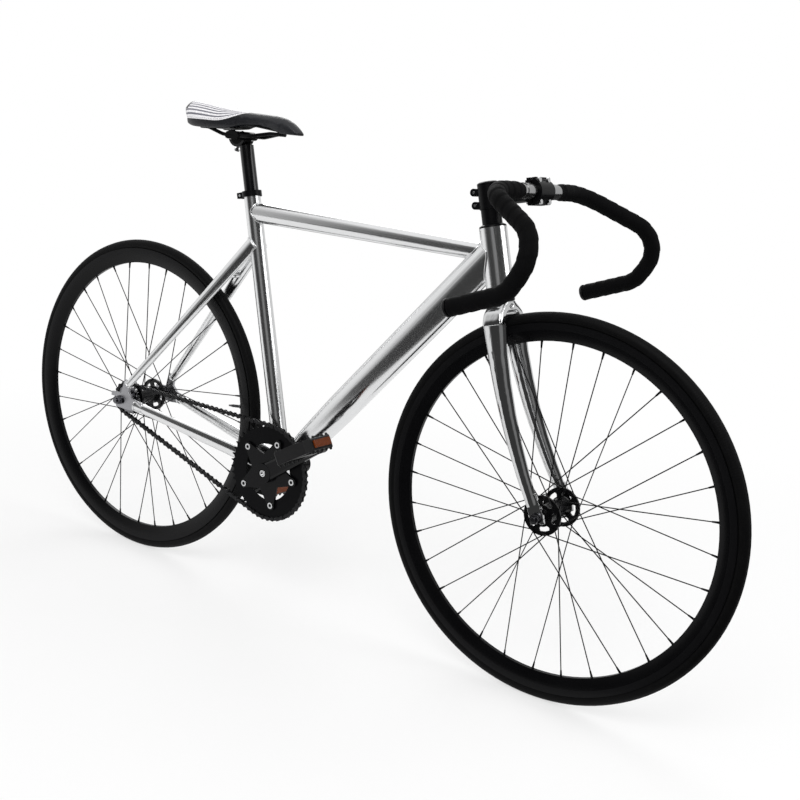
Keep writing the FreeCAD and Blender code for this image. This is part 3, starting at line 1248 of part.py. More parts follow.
def reflectors(name, centre, pitch):
    middle = centre + right(pedal_start + v("pedal_width") / 2) - UP * (v("reflector_height") / 2)
    out = v("pedal_length") / 2 + v("reflector_thickness") / 2
    lenses = []
    for reach in (out, -out):
        place = pitched(centre, pitch, Placement(middle + FORWARD * reach, Rotation()))
        lens = block(name + "Lens", S.reflector_thickness, S.reflector_length, S.reflector_height, place)
        lenses.append(lens)
    doc.recompute()
    return solid_of(name, Part.makeCompound([lens.Shape.copy() for lens in lenses]))


arm_line = Vector(math.cos(CRANK_TURN), 0, math.sin(CRANK_TURN)) * v("crank_length")
PEDAL_RIGHT, PEDAL_LEFT = CRANK + arm_line, CRANK - arm_line
right_axle, left_axle = pedal_axle(PEDAL_RIGHT), mirrored("AxleLeft", pedal_axle(PEDAL_LEFT))
doc.recompute()
both_axles = Part.makeCompound([right_axle.Shape.copy(), left_axle.Shape.copy()])
keep(solid_of("PedalAxles", both_axles), "pedal_axles")
pitch = v("pedal_pitch")
keep(pedal("PedalRight", PEDAL_RIGHT, pitch), "pedal_right")
keep(mirrored("PedalLeft", pedal("PedalOpposite", PEDAL_LEFT, 0)), "pedal_left")
keep(reflectors("ReflectorsRight", PEDAL_RIGHT, pitch), "pedal_reflectors_right")
keep(mirrored("ReflectorsLeft", reflectors("ReflectorsOpposite", PEDAL_LEFT, 0)), "pedal_reflectors_left")

# Check every piece, then write one file for each node
doc.recompute()
for obj in doc.Objects:
    if "Invalid" in obj.State or "Error" in obj.State:
        raise RuntimeError("not built: " + obj.Label)
for obj in nodes:
    if obj.Shape.isNull() or not obj.Shape.isValid() or not obj.Shape.Solids:
        raise RuntimeError("no valid solid: " + obj.Label)
os.makedirs("parts", exist_ok=True)
for obj in nodes:
    obj.Shape.exportStep("parts/" + obj.Label + ".step")
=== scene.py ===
"""Looks of a fixed gear track bicycle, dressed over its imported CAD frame.

Metres, +X forward, +Y to the rider's left, +Z up, as in the CAD frame.
"""
import itertools
import json
import math

import bmesh
import bpy
from bpy.props import FloatProperty, FloatVectorProperty, IntProperty, PointerProperty
from mathutils import Matrix, Vector
from mathutils.bvhtree import BVHTree


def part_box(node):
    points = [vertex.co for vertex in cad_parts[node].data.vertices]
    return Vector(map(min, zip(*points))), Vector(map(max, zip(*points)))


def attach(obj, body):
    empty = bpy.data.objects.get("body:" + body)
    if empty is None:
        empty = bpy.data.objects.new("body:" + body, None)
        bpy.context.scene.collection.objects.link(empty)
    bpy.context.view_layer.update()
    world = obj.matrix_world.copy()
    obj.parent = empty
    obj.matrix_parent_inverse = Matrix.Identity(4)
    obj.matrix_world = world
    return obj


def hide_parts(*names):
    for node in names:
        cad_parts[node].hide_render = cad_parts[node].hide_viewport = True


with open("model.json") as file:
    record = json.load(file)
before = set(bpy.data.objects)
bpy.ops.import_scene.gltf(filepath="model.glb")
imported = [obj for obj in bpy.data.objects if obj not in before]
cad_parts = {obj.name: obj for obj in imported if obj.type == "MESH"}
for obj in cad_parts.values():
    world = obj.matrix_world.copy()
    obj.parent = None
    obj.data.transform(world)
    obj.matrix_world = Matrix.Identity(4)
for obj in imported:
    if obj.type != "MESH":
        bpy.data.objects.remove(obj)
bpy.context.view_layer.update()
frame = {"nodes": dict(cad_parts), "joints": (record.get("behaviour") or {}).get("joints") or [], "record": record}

JOINTS = {joint["name"]: joint for joint in frame["joints"]}
BODY_OF = {node: body for body, nodes in frame["record"]["behaviour"]["bodies"].items() for node in nodes}
X, Y, Z = Vector((1, 0, 0)), Vector((0, 1, 0)), Vector((0, 0, 1))


def joint_point(name):
    return Vector(JOINTS[name]["pos_m"])


# The left half of the drop bar from its middle: start of the tape, corners, end, and the radius of each bend
BAR_CORNERS = ((0, 0.062, 0), (0, 0.158, 0), (0.137, 0.232, -0.065), (0.089, 0.232, -0.143), (-0.005, 0.232, -0.177))
BAR_BENDS = (0.074, 0.054, 0.048)

FRONT_AXLE = joint_point("front_wheel_spin")
REAR_AXLE = joint_point("rear_wheel_spin")
WHEELS = (("front", FRONT_AXLE), ("rear", REAR_AXLE))
RIM_BED = 0.2868  # from an axle to the inside of the rim, where the valves stand
TYRE_RADIUS = 0.334
CRANK = joint_point("crank_turn")
BAR = joint_point("bar_roll")
STEER = Vector(JOINTS["steering_turn"]["axis"])
SEAT = Vector(JOINTS["seat_height"]["axis"])

bl_info = {
    "name": "Fixed gear bicycle finish",
    "version": (1, 0, 0),
    "blender": (4, 5, 0),
    "location": "View3D > Sidebar > Bicycle",
    "description": "Dresses the CAD frame of a track bicycle with its finishes, trim and studio",
    "category": "Object",
}


def colour(label, note, default):
    return FloatVectorProperty(name=label, description=note, default=default, subtype="COLOR", size=3, min=0, max=1)


def length(label, note, default):
    return FloatProperty(name=label, description=note, default=default, unit="LENGTH", subtype="DISTANCE", min=0)


class BicycleColours(bpy.types.PropertyGroup):
    """Colours of the finishes"""
    bare_metal: colour("Bare metal", "Clear coated frame tubes", (0.78, 0.785, 0.79))
    plating: colour("Plating", "Bright fork", (0.66, 0.665, 0.67))
    machined: colour("Machined steel", "Bolts, nuts and axles", (0.58, 0.585, 0.59))
    anodised: colour("Black anodising", "Rims, hubs, cranks, stem and seat post", (0.0022, 0.0022, 0.0026))
    rubber: colour("Tyre rubber", "Both tyres", (0.002, 0.002, 0.0022))
    tape: colour("Bar tape", "Wound tape on the drop bar", (0.002, 0.002, 0.0022))
    saddle_light: colour("Saddle panel", "Pale rear panel of the saddle", (0.86, 0.85, 0.87))
    saddle_dark: colour("Saddle skirt", "Dark nose and skirt of the saddle", (0.008, 0.0085, 0.011))
    saddle_line: colour("Saddle lines", "Fine lines on the pale panel", (0.17, 0.17, 0.2))
    resin: colour("Pedal resin", "Moulded pedals and saddle base", (0.005, 0.005, 0.0054))
    amber: colour("Amber lens", "Pedal reflectors", (0.15, 0.03, 0.003))


class BicycleTrim(bpy.types.PropertyGroup):
    """Sizes of the trim that the scene adds to the CAD pieces"""
    nipple_length: length("Nipple length", "Spoke nipple that shows inside the rim", 0.0118)
    nipple_width: length("Nipple width", "Spoke nipple across", 0.0041)
    chain_pitch: length("Chain pitch", "From pin to pin along the chain", 0.0127)
    chain_waist: FloatProperty(name="Chain waist", description="Share of a link's height drawn in between its pins",
                               default=0.42)
    # painted shade: width across corners of the dark hexagon laid on each chainring bolt's head in place of its socket
    socket_shade_width: length("Socket width", "Hexagon in the head of a chainring bolt, across its corners", 0.0072)
    valve_length: length("Valve length", "Valve stem that shows inside the rim", 0.034)
    bar_radius: length("Bar radius", "Bar under the tape", 0.01205)
    tape_band: length("Tape band", "Finishing band where the tape starts", 0.014)
    tape_thin: length("Tape edge", "Tape at the thin edge of a turn", 0.0015)
    tape_lap: length("Tape lap", "How far a turn rises over the one before", 0.001)
    tape_pitch: length("Tape pitch", "Bar tape from one turn to the next", 0.021)
    bead_width: length("Weld bead", "Weld bead round a tube's end", 0.0042)
    bead_ripple: length("Weld ripple", "Weld bead from one ripple to the next", 0.0028)
    tooth_step: length("Tooth step", "From one grip tooth of a pedal to the next", 0.0125)
    tooth_height: length("Tooth height", "How far a grip tooth stands off its pedal", 0.0045)
    crown_voxel: length("Crown cell", "Grid of the fork crown before its edges are rubbed round", 0.0015)
    crown_passes: IntProperty(name="Crown passes", description="How often the crown's edges are rubbed", default=14)
    saddle_voxel: length("Saddle cell", "Cell of the saddle cover before it is blown up", 0.0045)
    saddle_skirt: length("Saddle skirt", "How far the cover's back edge hangs below its base", 0.0108)
    saddle_ease: length("Saddle ease", "Cover drawn in before it is blown up", 0.0015)
    saddle_swell: length("Saddle swell", "Most that a point of the cover moves out", 0.005)
    saddle_frames: IntProperty(name="Saddle frames", description="Steps of the cloth run", default=20, min=1)


class BicycleStage(bpy.types.PropertyGroup):
    """Floor, lamps and camera"""
    floor: colour("Floor", "Pale studio floor", (0.9, 0.9, 0.9))
    lamp_power: FloatProperty(name="Lamp power", description="Power of the main soft lamp in watts", default=95,
                              min=0)
    fill: FloatProperty(name="Fill light", description="Strength of the light from all round", default=0.62, min=0)
    room_level: FloatProperty(name="Room level", description="Brightness of the dim wall round the set", default=0.05,
                              min=0)
    card_edge: length("Card edge", "From the middle of the set to the dim sheet on the floor", 0.3)
    card_turn: FloatProperty(name="Card turn", description="How far aslant the dim sheet lies", default=0.64,
                             subtype="ANGLE")
    room_radius: length("Room radius", "From the middle of the set to the dim wall", 4.3)
    room_height: length("Room height", "Height of the dim wall", 4.6)
    lens: FloatProperty(name="Lens", description="Focal length of the camera", default=50.15, unit="CAMERA")


def colours():
    return bpy.context.scene.bicycle_colours


def trim():
    return bpy.context.scene.bicycle_trim


def maths(operation):
    """An operator on values that adds a Math node."""
    def combine(self, *others):
        return self.look.node("ShaderNodeMath", {"operation": operation}, dict(enumerate((self, *others))))
    return combine


class Value:
    """A socket in a look's nodes; sums and products of values add Math nodes."""

    def __init__(self, look, socket):
        self.look = look
        self.socket = socket

    __add__ = __radd__ = maths("ADD")
    __mul__ = __rmul__ = maths("MULTIPLY")
    __sub__ = maths("SUBTRACT")
    __truediv__ = maths("DIVIDE")
    __pow__ = maths("POWER")
    __gt__ = maths("GREATER_THAN")
    __lt__ = maths("LESS_THAN")
    sine = maths("SINE")
    size = maths("ABSOLUTE")
    angle_from = maths("ARCTAN2")

    def __rsub__(self, other):
        return self.look.node("ShaderNodeMath", {"operation": "SUBTRACT"}, {0: other, 1: self})

    def step(self, low, high):
        """0 below low, 1 above high and smooth between."""
        return self.look.node("ShaderNodeMapRange", {"interpolation_type": "SMOOTHSTEP"},
                              {0: self, 1: low, 2: high, 3: 0.0, 4: 1.0})


class Look:
    """A material built round one Principled shader."""

    def __init__(self, name, fixed):
        self.material = bpy.data.materials.new(name)
        self.material.use_nodes = True
        self.tree = self.material.node_tree
        self.shader = self.tree.nodes["Principled BSDF"]
        for socket, value in fixed.items():
            self.shader.inputs[socket].default_value = value

    def put(self, socket, value):
        if isinstance(value, Value):
            self.tree.links.new(value.socket, socket)
        else:
            socket.default_value = value

    def node(self, kind, settings, sockets, output=0):
        node = self.tree.nodes.new(kind)
        for key, value in settings.items():
            setattr(node, key, value)
        for key, value in sockets.items():
            self.put(node.inputs[key], value)
        return Value(self, node.outputs[output])

    def feed(self, socket, value):
        self.put(self.shader.inputs[socket], value)

    def place(self, centre=(0, 0, 0), turn=(0, 0, 0), size=(1, 1, 1)):
        """Object coordinates about centre, turned, in units of size."""
        spot = self.node("ShaderNodeTexCoord", {}, {}, "Object")
        return self.node("ShaderNodeMapping", {"vector_type": "TEXTURE"},
                         {"Vector": spot, "Location": centre, "Rotation": turn, "Scale": size})

    def parts(self, vector):
        node = self.tree.nodes.new("ShaderNodeSeparateXYZ")
        self.put(node.inputs[0], vector)
        return [Value(self, socket) for socket in node.outputs]

    def noise(self, scale, detail=3.0, rough=0.55, **place):
        """Noise on object coordinates, which place may turn or stretch."""
        return self.node("ShaderNodeTexNoise", {}, {
            "Vector": self.place(**place), "Scale": scale, "Detail": detail, "Roughness": rough}, "Fac")

    def pits(self, scale):
        """Distance from the nearest of many scattered points."""
        return self.node("ShaderNodeTexVoronoi", {"feature": "F1"},
                         {"Vector": self.place(), "Scale": scale}, "Distance")

    def glow(self, tone, strength):
        """Light sent out by the surface in place of its shader."""
        light = self.node("ShaderNodeEmission", {}, {"Color": tone, "Strength": strength})
        self.put(self.tree.nodes["Material Output"].inputs[0], light)

    def blend(self, share, first, second):
        """Colour that goes from first to second as share goes from 0 to 1."""
        full = [c if isinstance(c, Value) else (*c, 1.0) for c in (first, second)]
        return self.node("ShaderNodeMix", {"data_type": "RGBA"}, {0: share, 6: full[0], 7: full[1]}, 2)

    def tint(self, share, tone, low, high):
        """Base colour from the low to the high multiple of a tone."""
        self.feed("Base Color", self.blend(share, shade(tone, low), shade(tone, high)))

    def relief(self, height, depth, strength=1.0):
        """Height in shares of depth, as a bump on the surface."""
        self.feed("Normal", self.node("ShaderNodeBump", {}, {
            "Height": height, "Distance": depth, "Strength": strength}))


def shade(tone, factor):
    return tuple(min(1.0, c * factor) for c in tone)


LOOKS = {}


def shared(make):
    """Makes the look of each name once, however many pieces wear it."""
    def look(name, *settings, **named):
        if name not in LOOKS:
            LOOKS[name] = make(name, *settings, **named)
        return LOOKS[name]
    return look


@shared
def bare_metal(name, along, tint=1.0):
    """Clear coated bare metal, with fine drawn lines along the tube."""
    tone = shade(colours().bare_metal, tint)
    look = Look(name, {"Metallic": 1.0, "Coat Weight": 0.3, "Coat Roughness": 0.12})
    turn = Z.rotation_difference(along).to_euler()
    drawn = look.noise(1.0, 4.0, 0.65, turn=turn, size=(0.0011, 0.0011, 0.09))
    patch = look.noise(9.0, 2.0)
    look.tint(drawn, tone, 0.88, 1.08)
    look.feed("Roughness", drawn * 0.1 + patch * 0.1 + 0.08)
    look.relief(drawn, 0.00006, 0.35)
    return look


@shared
def plated(name):
    """Bright plating over a slightly uneven polish, with faint smears."""
    look = Look(name, {"Metallic": 1.0})
    smear = look.noise(22.0, 4.0, 0.6, size=(1, 1, 3))
    look.tint(smear, colours().plating, 0.9, 1.05)
    look.feed("Roughness", (smear ** 2.0) * 0.2 + 0.035)
    look.relief(look.noise(75.0, 2.0, size=(1, 1, 7)), 0.0012, 0.35)
    return look


@shared
def machined(name, tone=None, rough=0.28):
    """Turned steel with faint tool marks."""
    look = Look(name, {"Metallic": 1.0})
    marks = look.noise(1.0, 3.0, size=(0.004, 0.0006, 0.004))
    look.tint(marks, tone or colours().machined, 0.8, 1.15)
    look.feed("Roughness", marks * 0.2 + (rough - 0.1))
    look.relief(marks, 0.00004, 0.4)
    return look


@shared
def anodised(name, rough=0.34, shine=0.09):
    """Black anodising: a fine grain under a dull sheen, a little paler where hands and shoes rub."""
    look = Look(name, {"Specular IOR Level": shine})
    grain = look.noise(1900.0, 2.0)
    rub = look.noise(26.0, 3.0)
    look.tint(rub, colours().anodised, 0.75, 1.6)
    look.feed("Roughness", rub * 0.16 + grain * 0.08 + (rough - 0.12))
    look.relief(grain, 0.00003, 0.5)
    return look


def rim_black(name, axle):
    """Gloss black rim with turned rings near its edge."""
    look = Look(name, {"Specular IOR Level": 0.12})
    x, _, z = look.parts(look.place(axle))
    radius = (x * x + z * z) ** 0.5
    rings = (radius * 5200.0).sine()
    track = radius.step(0.3045, 0.3055)
    haze = look.noise(15.0, 3.0)
    look.tint(track * 0.35 + haze * 0.3, colours().anodised, 0.8, 2.0)
    look.feed("Roughness", haze * 0.1 + track * 0.14 + 0.2)
    look.relief(rings * track, 0.00003, 0.5)
    return look


def tyre_rubber(name, axle):
    """Black rubber: crossed file tread on the crown, fine ribs and a cast line on the walls."""
    look = Look(name, {"Specular IOR Level": 0.08})
    x, y, z = look.parts(look.place(axle))
    radius = (x * x + z * z) ** 0.5
    round_way = z.angle_from(x) * TYRE_RADIUS
    across = y.size()
    crown = 1 - across.step(0.0062, 0.0072)
    file_cut = ((round_way + across * 0.9) * 2100.0).sine()
    ribs = (round_way * 1500.0).sine() * radius.step(0.3175, 0.3185) * (1 - crown)
    line = (radius - 0.3225).size() < 0.0004
    dust = look.noise(60.0, 4.0)
    look.tint(dust, colours().rubber, 0.8, 1.7)
    look.feed("Roughness", dust * 0.22 + crown * 0.08 + 0.46)
    look.relief(file_cut * crown * 0.6 + ribs * 0.25 + line * 0.8 + dust * 0.4, 0.0003, 0.7)
    return look


def wound_tape(name):
    """Cork tape with soft pores, flecks and a faint nap."""
    look = Look(name, {"Specular IOR Level": 0.035})
    pores = look.noise(620.0, 4.0, 0.7)
    flecks = look.pits(330.0)
    rub = look.noise(30.0, 3.0)
    look.tint(rub * 0.5 + pores * 0.5, colours().tape, 0.6, 2.4)
    look.feed("Roughness", pores * 0.2 + rub * 0.12 + 0.5)
    look.relief(pores * 0.6 + flecks.step(0.1, 0.45) * 0.5, 0.00035, 0.6)
    return look


def saddle_leather(name):
    """Pale rear panel with fine lines that fan out, dark nose and skirt, stitched along the border."""
    tones = colours()
    look = Look(name, {"Coat Weight": 0.06, "Coat Roughness": 0.35, "Specular IOR Level": 0.35})
    low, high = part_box("saddle_cover")
    x, y, z = look.parts(look.place((low.x, 0, low.z)))
    along, side = x / (high.x - low.x), y.size()
    border = along.step(0.3, 0.68) * 0.03 + 0.01
    above = z - border
    piping = z.step(0.026, 0.029) * (1 - (x - side * side * 3.9).step(0.0105, 0.013))
    tail = along.step(0.008, 0.016) * (1 - piping)
    light = above.step(-0.0004, 0.0004) * tail
    fan = above.angle_from(side)
    lines = ((fan * 52.0).sine() * 0.5 + 0.5).step(0.38, 0.68) * fan.step(0.05, 0.09) * (1 - fan.step(0.72, 0.78))
    dashes = ((x * 480.0).sine() + along.step(0.5, 0.42) * 2.0).step(-0.2, 0.2)
    channel = (1 - side.step(0.0065, 0.008)) * (1 - along.step(0.5, 0.53)) * dashes
    lines = lines * (1 - along.step(0.45, 0.6)) * light
    beside = (above - 0.0026).size()
    stitch = (1 - beside.step(0.0004, 0.0007)) * ((x * 1570.0).sine() > -0.3) * tail
    seam = 1 - above.size().step(0.0003, 0.0014)
    grain = look.pits(900.0)
    crease = look.noise(140.0, 4.0)
    marked = lines + channel * light + stitch * light * 0.6
    pale = look.blend(marked.step(0.0, 1.0), tuple(tones.saddle_light), tuple(tones.saddle_line))
    dark = look.blend(crease, shade(tones.saddle_dark, 0.7), shade(tones.saddle_dark, 1.8))
    look.feed("Base Color", look.blend(light, dark, pale))
    look.feed("Roughness", grain * 0.14 + crease * 0.1 + light * 0.05 + 0.32)
    look.relief(grain * 0.25 + crease * 0.2 - seam * tail - lines * 0.3 + stitch * 0.5, 0.0006, 0.6)
    return look


def chain_steel(name, tone, rough):
    """Dark oxide with oil, rubbed bright in places."""
    look = Look(name, {"Metallic": 0.85})
    wear = look.noise(420.0, 3.0)
    oil = look.noise(45.0, 2.0)
    look.tint(wear.step(0.5, 0.8), tone, 0.7, 3.0)
    look.feed("Roughness", oil * 0.25 + (rough - 0.1))
    look.relief(wear, 0.00005, 0.4)
    return look


@shared
def resin(name):
    """Moulded resin with a sparked texture."""
    look = Look(name, {"Specular IOR Level": 0.2})
    spark = look.noise(1300.0, 2.0)
    scuff = look.noise(55.0, 4.0)
    look.tint(scuff, colours().resin, 0.7, 1.9)
    look.feed("Roughness", scuff * 0.2 + 0.36)
    look.relief(spark, 0.00012, 0.6)
    return look


def amber_lens(name, centre, turn):
    """Amber reflector with rows of small prisms, its amber painted darker in their hollows and paler on their tops as
    painted shade and highlight.
    """
    look = Look(name, {"Specular IOR Level": 0.15, "Roughness": 0.3})
    _, y, z = look.parts(look.place(centre, turn))
    prism_height_and_shade = (y * 1400.0).sine() * (z * 1400.0).sine()
    # painted shade and highlight: the amber follows the prisms' height, darker in the hollows and paler on the tops
    look.tint(prism_height_and_shade * 0.5 + 0.5, colours().amber, 0.55, 1.2)
    look.relief(prism_height_and_shade, 0.0005, 0.8)
    return look


def linked(bm, name, look):
    """Object of a bmesh in its finish."""
    mesh = bpy.data.meshes.new(name)
    bm.to_mesh(mesh)
    bm.free()
    mesh.materials.append(look.material)
    piece = bpy.data.objects.new(name, mesh)
    bpy.context.scene.collection.objects.link(piece)
    return piece


def finished(bm, name, look, body, crease=35.0):
    """Object of a bmesh, smooth but for edges sharper than crease degrees, on its body."""
    for face in bm.faces:
        face.smooth = True
    for edge in bm.edges:
        edge.smooth = len(edge.link_faces) == 2 and edge.calc_face_angle(0.0) < math.radians(crease)
    piece = linked(bm, name, look)
    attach(piece, body)
    return piece


def merged_copy(node):
    """The CAD node's mesh with its loose triangles joined."""
    bm = bmesh.new()
    bm.from_mesh(frame["nodes"][node].data)
    bmesh.ops.remove_doubles(bm, verts=bm.verts, dist=2e-6)
    return bm


def dress(node, look, crease=35.0, edge=0.0, shape=None):
    """A smooth copy of a CAD node in its finish, reshaped by shape, with its sharp edges broken by edge."""
    bm = merged_copy(node)
    if edge:
        bmesh.ops.dissolve_limit(bm, angle_limit=math.radians(1.0), verts=bm.verts, edges=bm.edges)
    if shape:
        shape(bm)
    piece = finished(bm, node + "_finish", look, BODY_OF[node], crease)
    if edge:
        bevel = piece.modifiers.new("broken_edges", "BEVEL")
        bevel.width = edge
        bevel.segments = 2
        bevel.limit_method = "ANGLE"
        bevel.angle_limit = math.radians(crease)
        bevel.use_clamp_overlap = True
        bevel.harden_normals = True
    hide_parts(node)
    return piece


def shape_now(piece):
    """A piece's mesh as its modifiers leave it."""
    return bpy.data.meshes.new_from_object(piece.evaluated_get(bpy.context.evaluated_depsgraph_get()))


def in_cells(piece, size):
    """Rebuild a piece's mesh on an even grid."""
    cells = piece.modifiers.new("cells", "REMESH")
    cells.mode = "VOXEL"
    cells.voxel_size = size
    mesh = shape_now(piece)
    piece.modifiers.clear()
    piece.data = mesh
    for polygon in mesh.polygons:
        polygon.use_smooth = True


def islands(bm):
    """The separate shells of a bmesh, as lists of vertices."""
    left, found = set(bm.verts), []
    while left:
        shell, queue = [], [left.pop()]
        while queue:
            vertex = queue.pop()
            shell.append(vertex)
            for edge in vertex.link_edges:
                other = edge.other_vert(vertex)
                if other in left:
                    left.remove(other)
                    queue.append(other)
        found.append(shell)
    return found


def middle_of(vertices):
    return sum((vertex.co for vertex in vertices), Vector()) / len(vertices)


def facing(spot, along):
    """Matrix that stands a shape's z along a direction at spot."""
    return Matrix.Translation(spot) @ Z.rotation_difference(along).to_matrix().to_4x4()


def cone(bm, spot, along, root, tip, tall, sides):
    """A closed cone or cylinder that stands on spot."""
    made = bmesh.ops.create_cone(bm, cap_ends=True, segments=sides, radius1=root, radius2=tip, depth=tall,
                                 matrix=facing(spot + along * tall / 2, along))
    return made["verts"]


def rounded_route(corners, bends, steps=24):
    """Points along straight runs joined by round bends."""
    points = [corners[0]]
    for before, corner, after, bend in zip(corners, corners[1:], corners[2:], bends):
        back, onward = (before - corner).normalized(), (after - corner).normalized()
        half = (math.pi - back.angle(onward)) / 2
        middle = corner + (back + onward).normalized() * bend / math.cos(half)
        first = corner + back * bend * math.tan(half) - middle
        axle = back.cross(first)
        points += [middle + Matrix.Rotation(2 * half * step / steps, 3, axle) @ first for step in range(steps + 1)]
    return points + [corners[-1]]


def bar_route(hand):
    """Middle line of the bar's taped half, on the left for hand 1 and on the right for -1."""
    corners = [BAR + Vector((x, hand * y, z)) for x, y, z in BAR_CORNERS]
    return rounded_route(corners, BAR_BENDS)


def stations(points, step):
    """Spots at even steps along a line of points, each with the direction there."""
    found, ahead = [], 0.0
    for start, end in zip(points, points[1:]):
        run, along = (end - start).length, (end - start).normalized()
        while ahead < run:
            found.append((start + along * ahead, along))
            ahead += step
        ahead -= run
    return found


def ramp(value, low, high):
    """0 below low, 1 above high and straight between."""
    return min(1.0, max(0.0, (value - low) / (high - low)))


def between(edges, ring):
    """The edges that join two vertices of a ring."""
    return [edge for edge in edges if edge.verts[0] in ring and edge.verts[1] in ring]


def sweep(bm, route, sides, width, closed=False):
    """A tube along stations; width gives its radius from a station's number and the angle round it."""
    spot, along = route[0]
    stand = facing(spot, along)
    ring = set(bmesh.ops.create_circle(bm, segments=sides, radius=1.0, matrix=stand)["verts"])
    first_edges = edges = between(bm.edges, ring)
    for number, (spot, along) in enumerate(route):
        before = stand.inverted()
        if number:
            made = bmesh.ops.extrude_edge_only(bm, edges=edges)["geom"]
            ring = {item for item in made if isinstance(item, bmesh.types.BMVert)}
            edges = between([item for item in made if isinstance(item, bmesh.types.BMEdge)], ring)
            turn = stand.to_3x3().col[2].rotation_difference(along).to_matrix()
            stand = Matrix.Translation(spot) @ (turn @ stand.to_3x3()).to_4x4()
        for vertex in ring:
            local = before @ vertex.co
            angle = math.atan2(local.y, local.x)
            reach = width(number, angle)
            vertex.co = stand @ Vector((reach * math.cos(angle), reach * math.sin(angle), 0))
    if closed:
        bmesh.ops.bridge_loops(bm, edges=first_edges + edges)
    return edges


def end_loops(node):
    """The loops round the two ends of a tube's outside, as lists of points in order."""
    bm = merged_copy(node)
    low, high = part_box(node)
    long_way = max(range(3), key=lambda axis: high[axis] - low[axis])
    ranked = sorted((vertex.co.copy() for vertex in bm.verts), key=lambda spot: spot[long_way])
    few = len(ranked) // 12  # points taken as one end
    start, end = (sum(some, Vector()) / few for some in (ranked[:few], ranked[-few:]))
    along = (end - start).normalized()

    def outside(face):
        arm = face.calc_center_median() - start
        return face.normal.dot((arm - along * arm.dot(along)).normalized()) > 0.4

    skin = {face: outside(face) for face in bm.faces}
    joins = {}
    for edge in bm.edges:
        if sum(skin[face] for face in edge.link_faces) == 1:
            for vertex in edge.verts:
                joins.setdefault(vertex, []).append(edge.other_vert(vertex))
    loops = []
    while joins:
        vertex, loop = next(iter(joins)), []
        while vertex is not None:
            loop.append(vertex.co.copy())
            vertex = next((other for other in joins.pop(vertex) if other in joins), None)
        loops.append(loop + loop[:1])
    bm.free()
    return loops


class BICYCLE_OT_frame(bpy.types.Operator):
    """Drawn bare metal on the frame's tubes, satin metal on its track ends"""
    bl_idname = "bicycle.frame"
    bl_label = "Frame tubes"

    def execute(self, context):
        low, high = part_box("down_tube")
        chain_stay, seat_stay = Vector((1, 0, -0.16)), Vector((0.65, 0, 0.76))
        runs = {"head_tube": STEER, "seat_tube": SEAT, "top_tube": X, "bottom_bracket_shell": Y, "brake_bridge": Y,
                "down_tube": Vector((high.x - low.x, 0, high.z - low.z)),
                "chain_stay_left": chain_stay, "chain_stay_right": chain_stay,
                "seat_stay_left": seat_stay, "seat_stay_right": seat_stay}
        for node, along in runs.items():
            dress(node, bare_metal("bare_" + node, along.normalized()))
        dress("track_ends", machined("track_end_metal", (0.36, 0.36, 0.375), 0.34), edge=0.001)
        dress("bottom_bracket_cups", anodised("cup_black"), edge=0.0004)
        dress("headset_bearings", machined("bearing_steel"))
        return {"FINISHED"}


class BICYCLE_OT_welds(bpy.types.Operator):
    """Rippled weld beads round the ends of the frame's tubes"""
    bl_idname = "bicycle.welds"
    bl_label = "Weld beads"

    def execute(self, context):
        sizes, bm, least = trim(), bmesh.new(), 0.03  # shorter loops are not tube ends
        for node in ("top_tube", "down_tube", "chain_stay_left", "chain_stay_right", "seat_stay_left",
                     "seat_stay_right", "brake_bridge"):
            for loop in end_loops(node):
                length = sum((end - start).length for start, end in zip(loop, loop[1:]))
                if length > least:
                    ripples = 2 * round(length / sizes.bead_ripple)
                    sweep(bm, stations(loop, length / ripples)[:ripples], 8,
                          lambda number, angle: sizes.bead_width * (0.5 if number % 2 else 0.43), closed=True)
        bmesh.ops.recalc_face_normals(bm, faces=bm.faces)
        beads = finished(bm, "weld_beads", machined("weld_metal", colours().bare_metal, 0.3), "frame", 70.0)
        return {"FINISHED"}


class BICYCLE_OT_fork(bpy.types.Operator):
    """Bright plated fork, headset spacers, and the axles and nuts of both wheels"""
    bl_idname = "bicycle.fork"
    bl_label = "Fork and headset"

    def execute(self, context):
        for node in ("fork_blade_left", "fork_blade_right"):
            dress(node, plated("fork_plating"))
        self.rounded(dress("fork_crown", plated("fork_plating")))
        dress("fork_tips", plated("fork_plating"), edge=0.0006)
        dress("headset_spacers", anodised("spacer_black", 0.3), edge=0.0005)
        for node in ("front_axle", "front_axle_nuts", "rear_axle", "rear_axle_nuts"):
            dress(node, machined("axle_steel", (0.13, 0.13, 0.14)), edge=0.0004)
        return {"FINISHED"}

    def rounded(self, crown):
        """The cast crown with its edges and corners rubbed round, but for its steerer and the sockets of the blades."""
        cast, bearings = merged_copy("fork_crown"), merged_copy("headset_bearings")
        skin = BVHTree.FromBMesh(cast)
        foot = min(vertex.co.dot(STEER) for vertex in cast.verts)
        head = min(vertex.co.dot(STEER) for vertex in bearings.verts)
        cast.free()
        bearings.free()
        in_cells(crown, trim().crown_voxel)
        foot, head = foot + 0.003, head - 0.006  # what lies beyond stays as it was cast
        bm, free = bmesh.new(), []
        bm.from_mesh(crown.data)
        for vertex in bm.verts:
            if foot < vertex.co.dot(STEER) < head:
                free.append(vertex)
            else:
                vertex.co = skin.find_nearest(vertex.co)[0]
        for _ in range(trim().crown_passes):
            bmesh.ops.smooth_vert(bm, verts=free, factor=0.5, use_axis_x=True, use_axis_y=True,
                                  use_axis_z=True)
        bm.to_mesh(crown.data)
        bm.free()


class BICYCLE_OT_stem(bpy.types.Operator):
    """Black stem, faceplate and cap with bright bolts, and the polished bar"""
    bl_idname = "bicycle.stem"
    bl_label = "Stem and bar"

    def execute(self, context):
        for node in ("stem", "stem_faceplate", "stem_cap"):
            dress(node, anodised("stem_black", 0.3), edge=0.0007)
        dress("stem_bolts", machined("bolt_steel", rough=0.22), edge=0.0003)
        dress("handlebar", bare_metal("bar_metal", Y, 0.45))
        return {"FINISHED"}


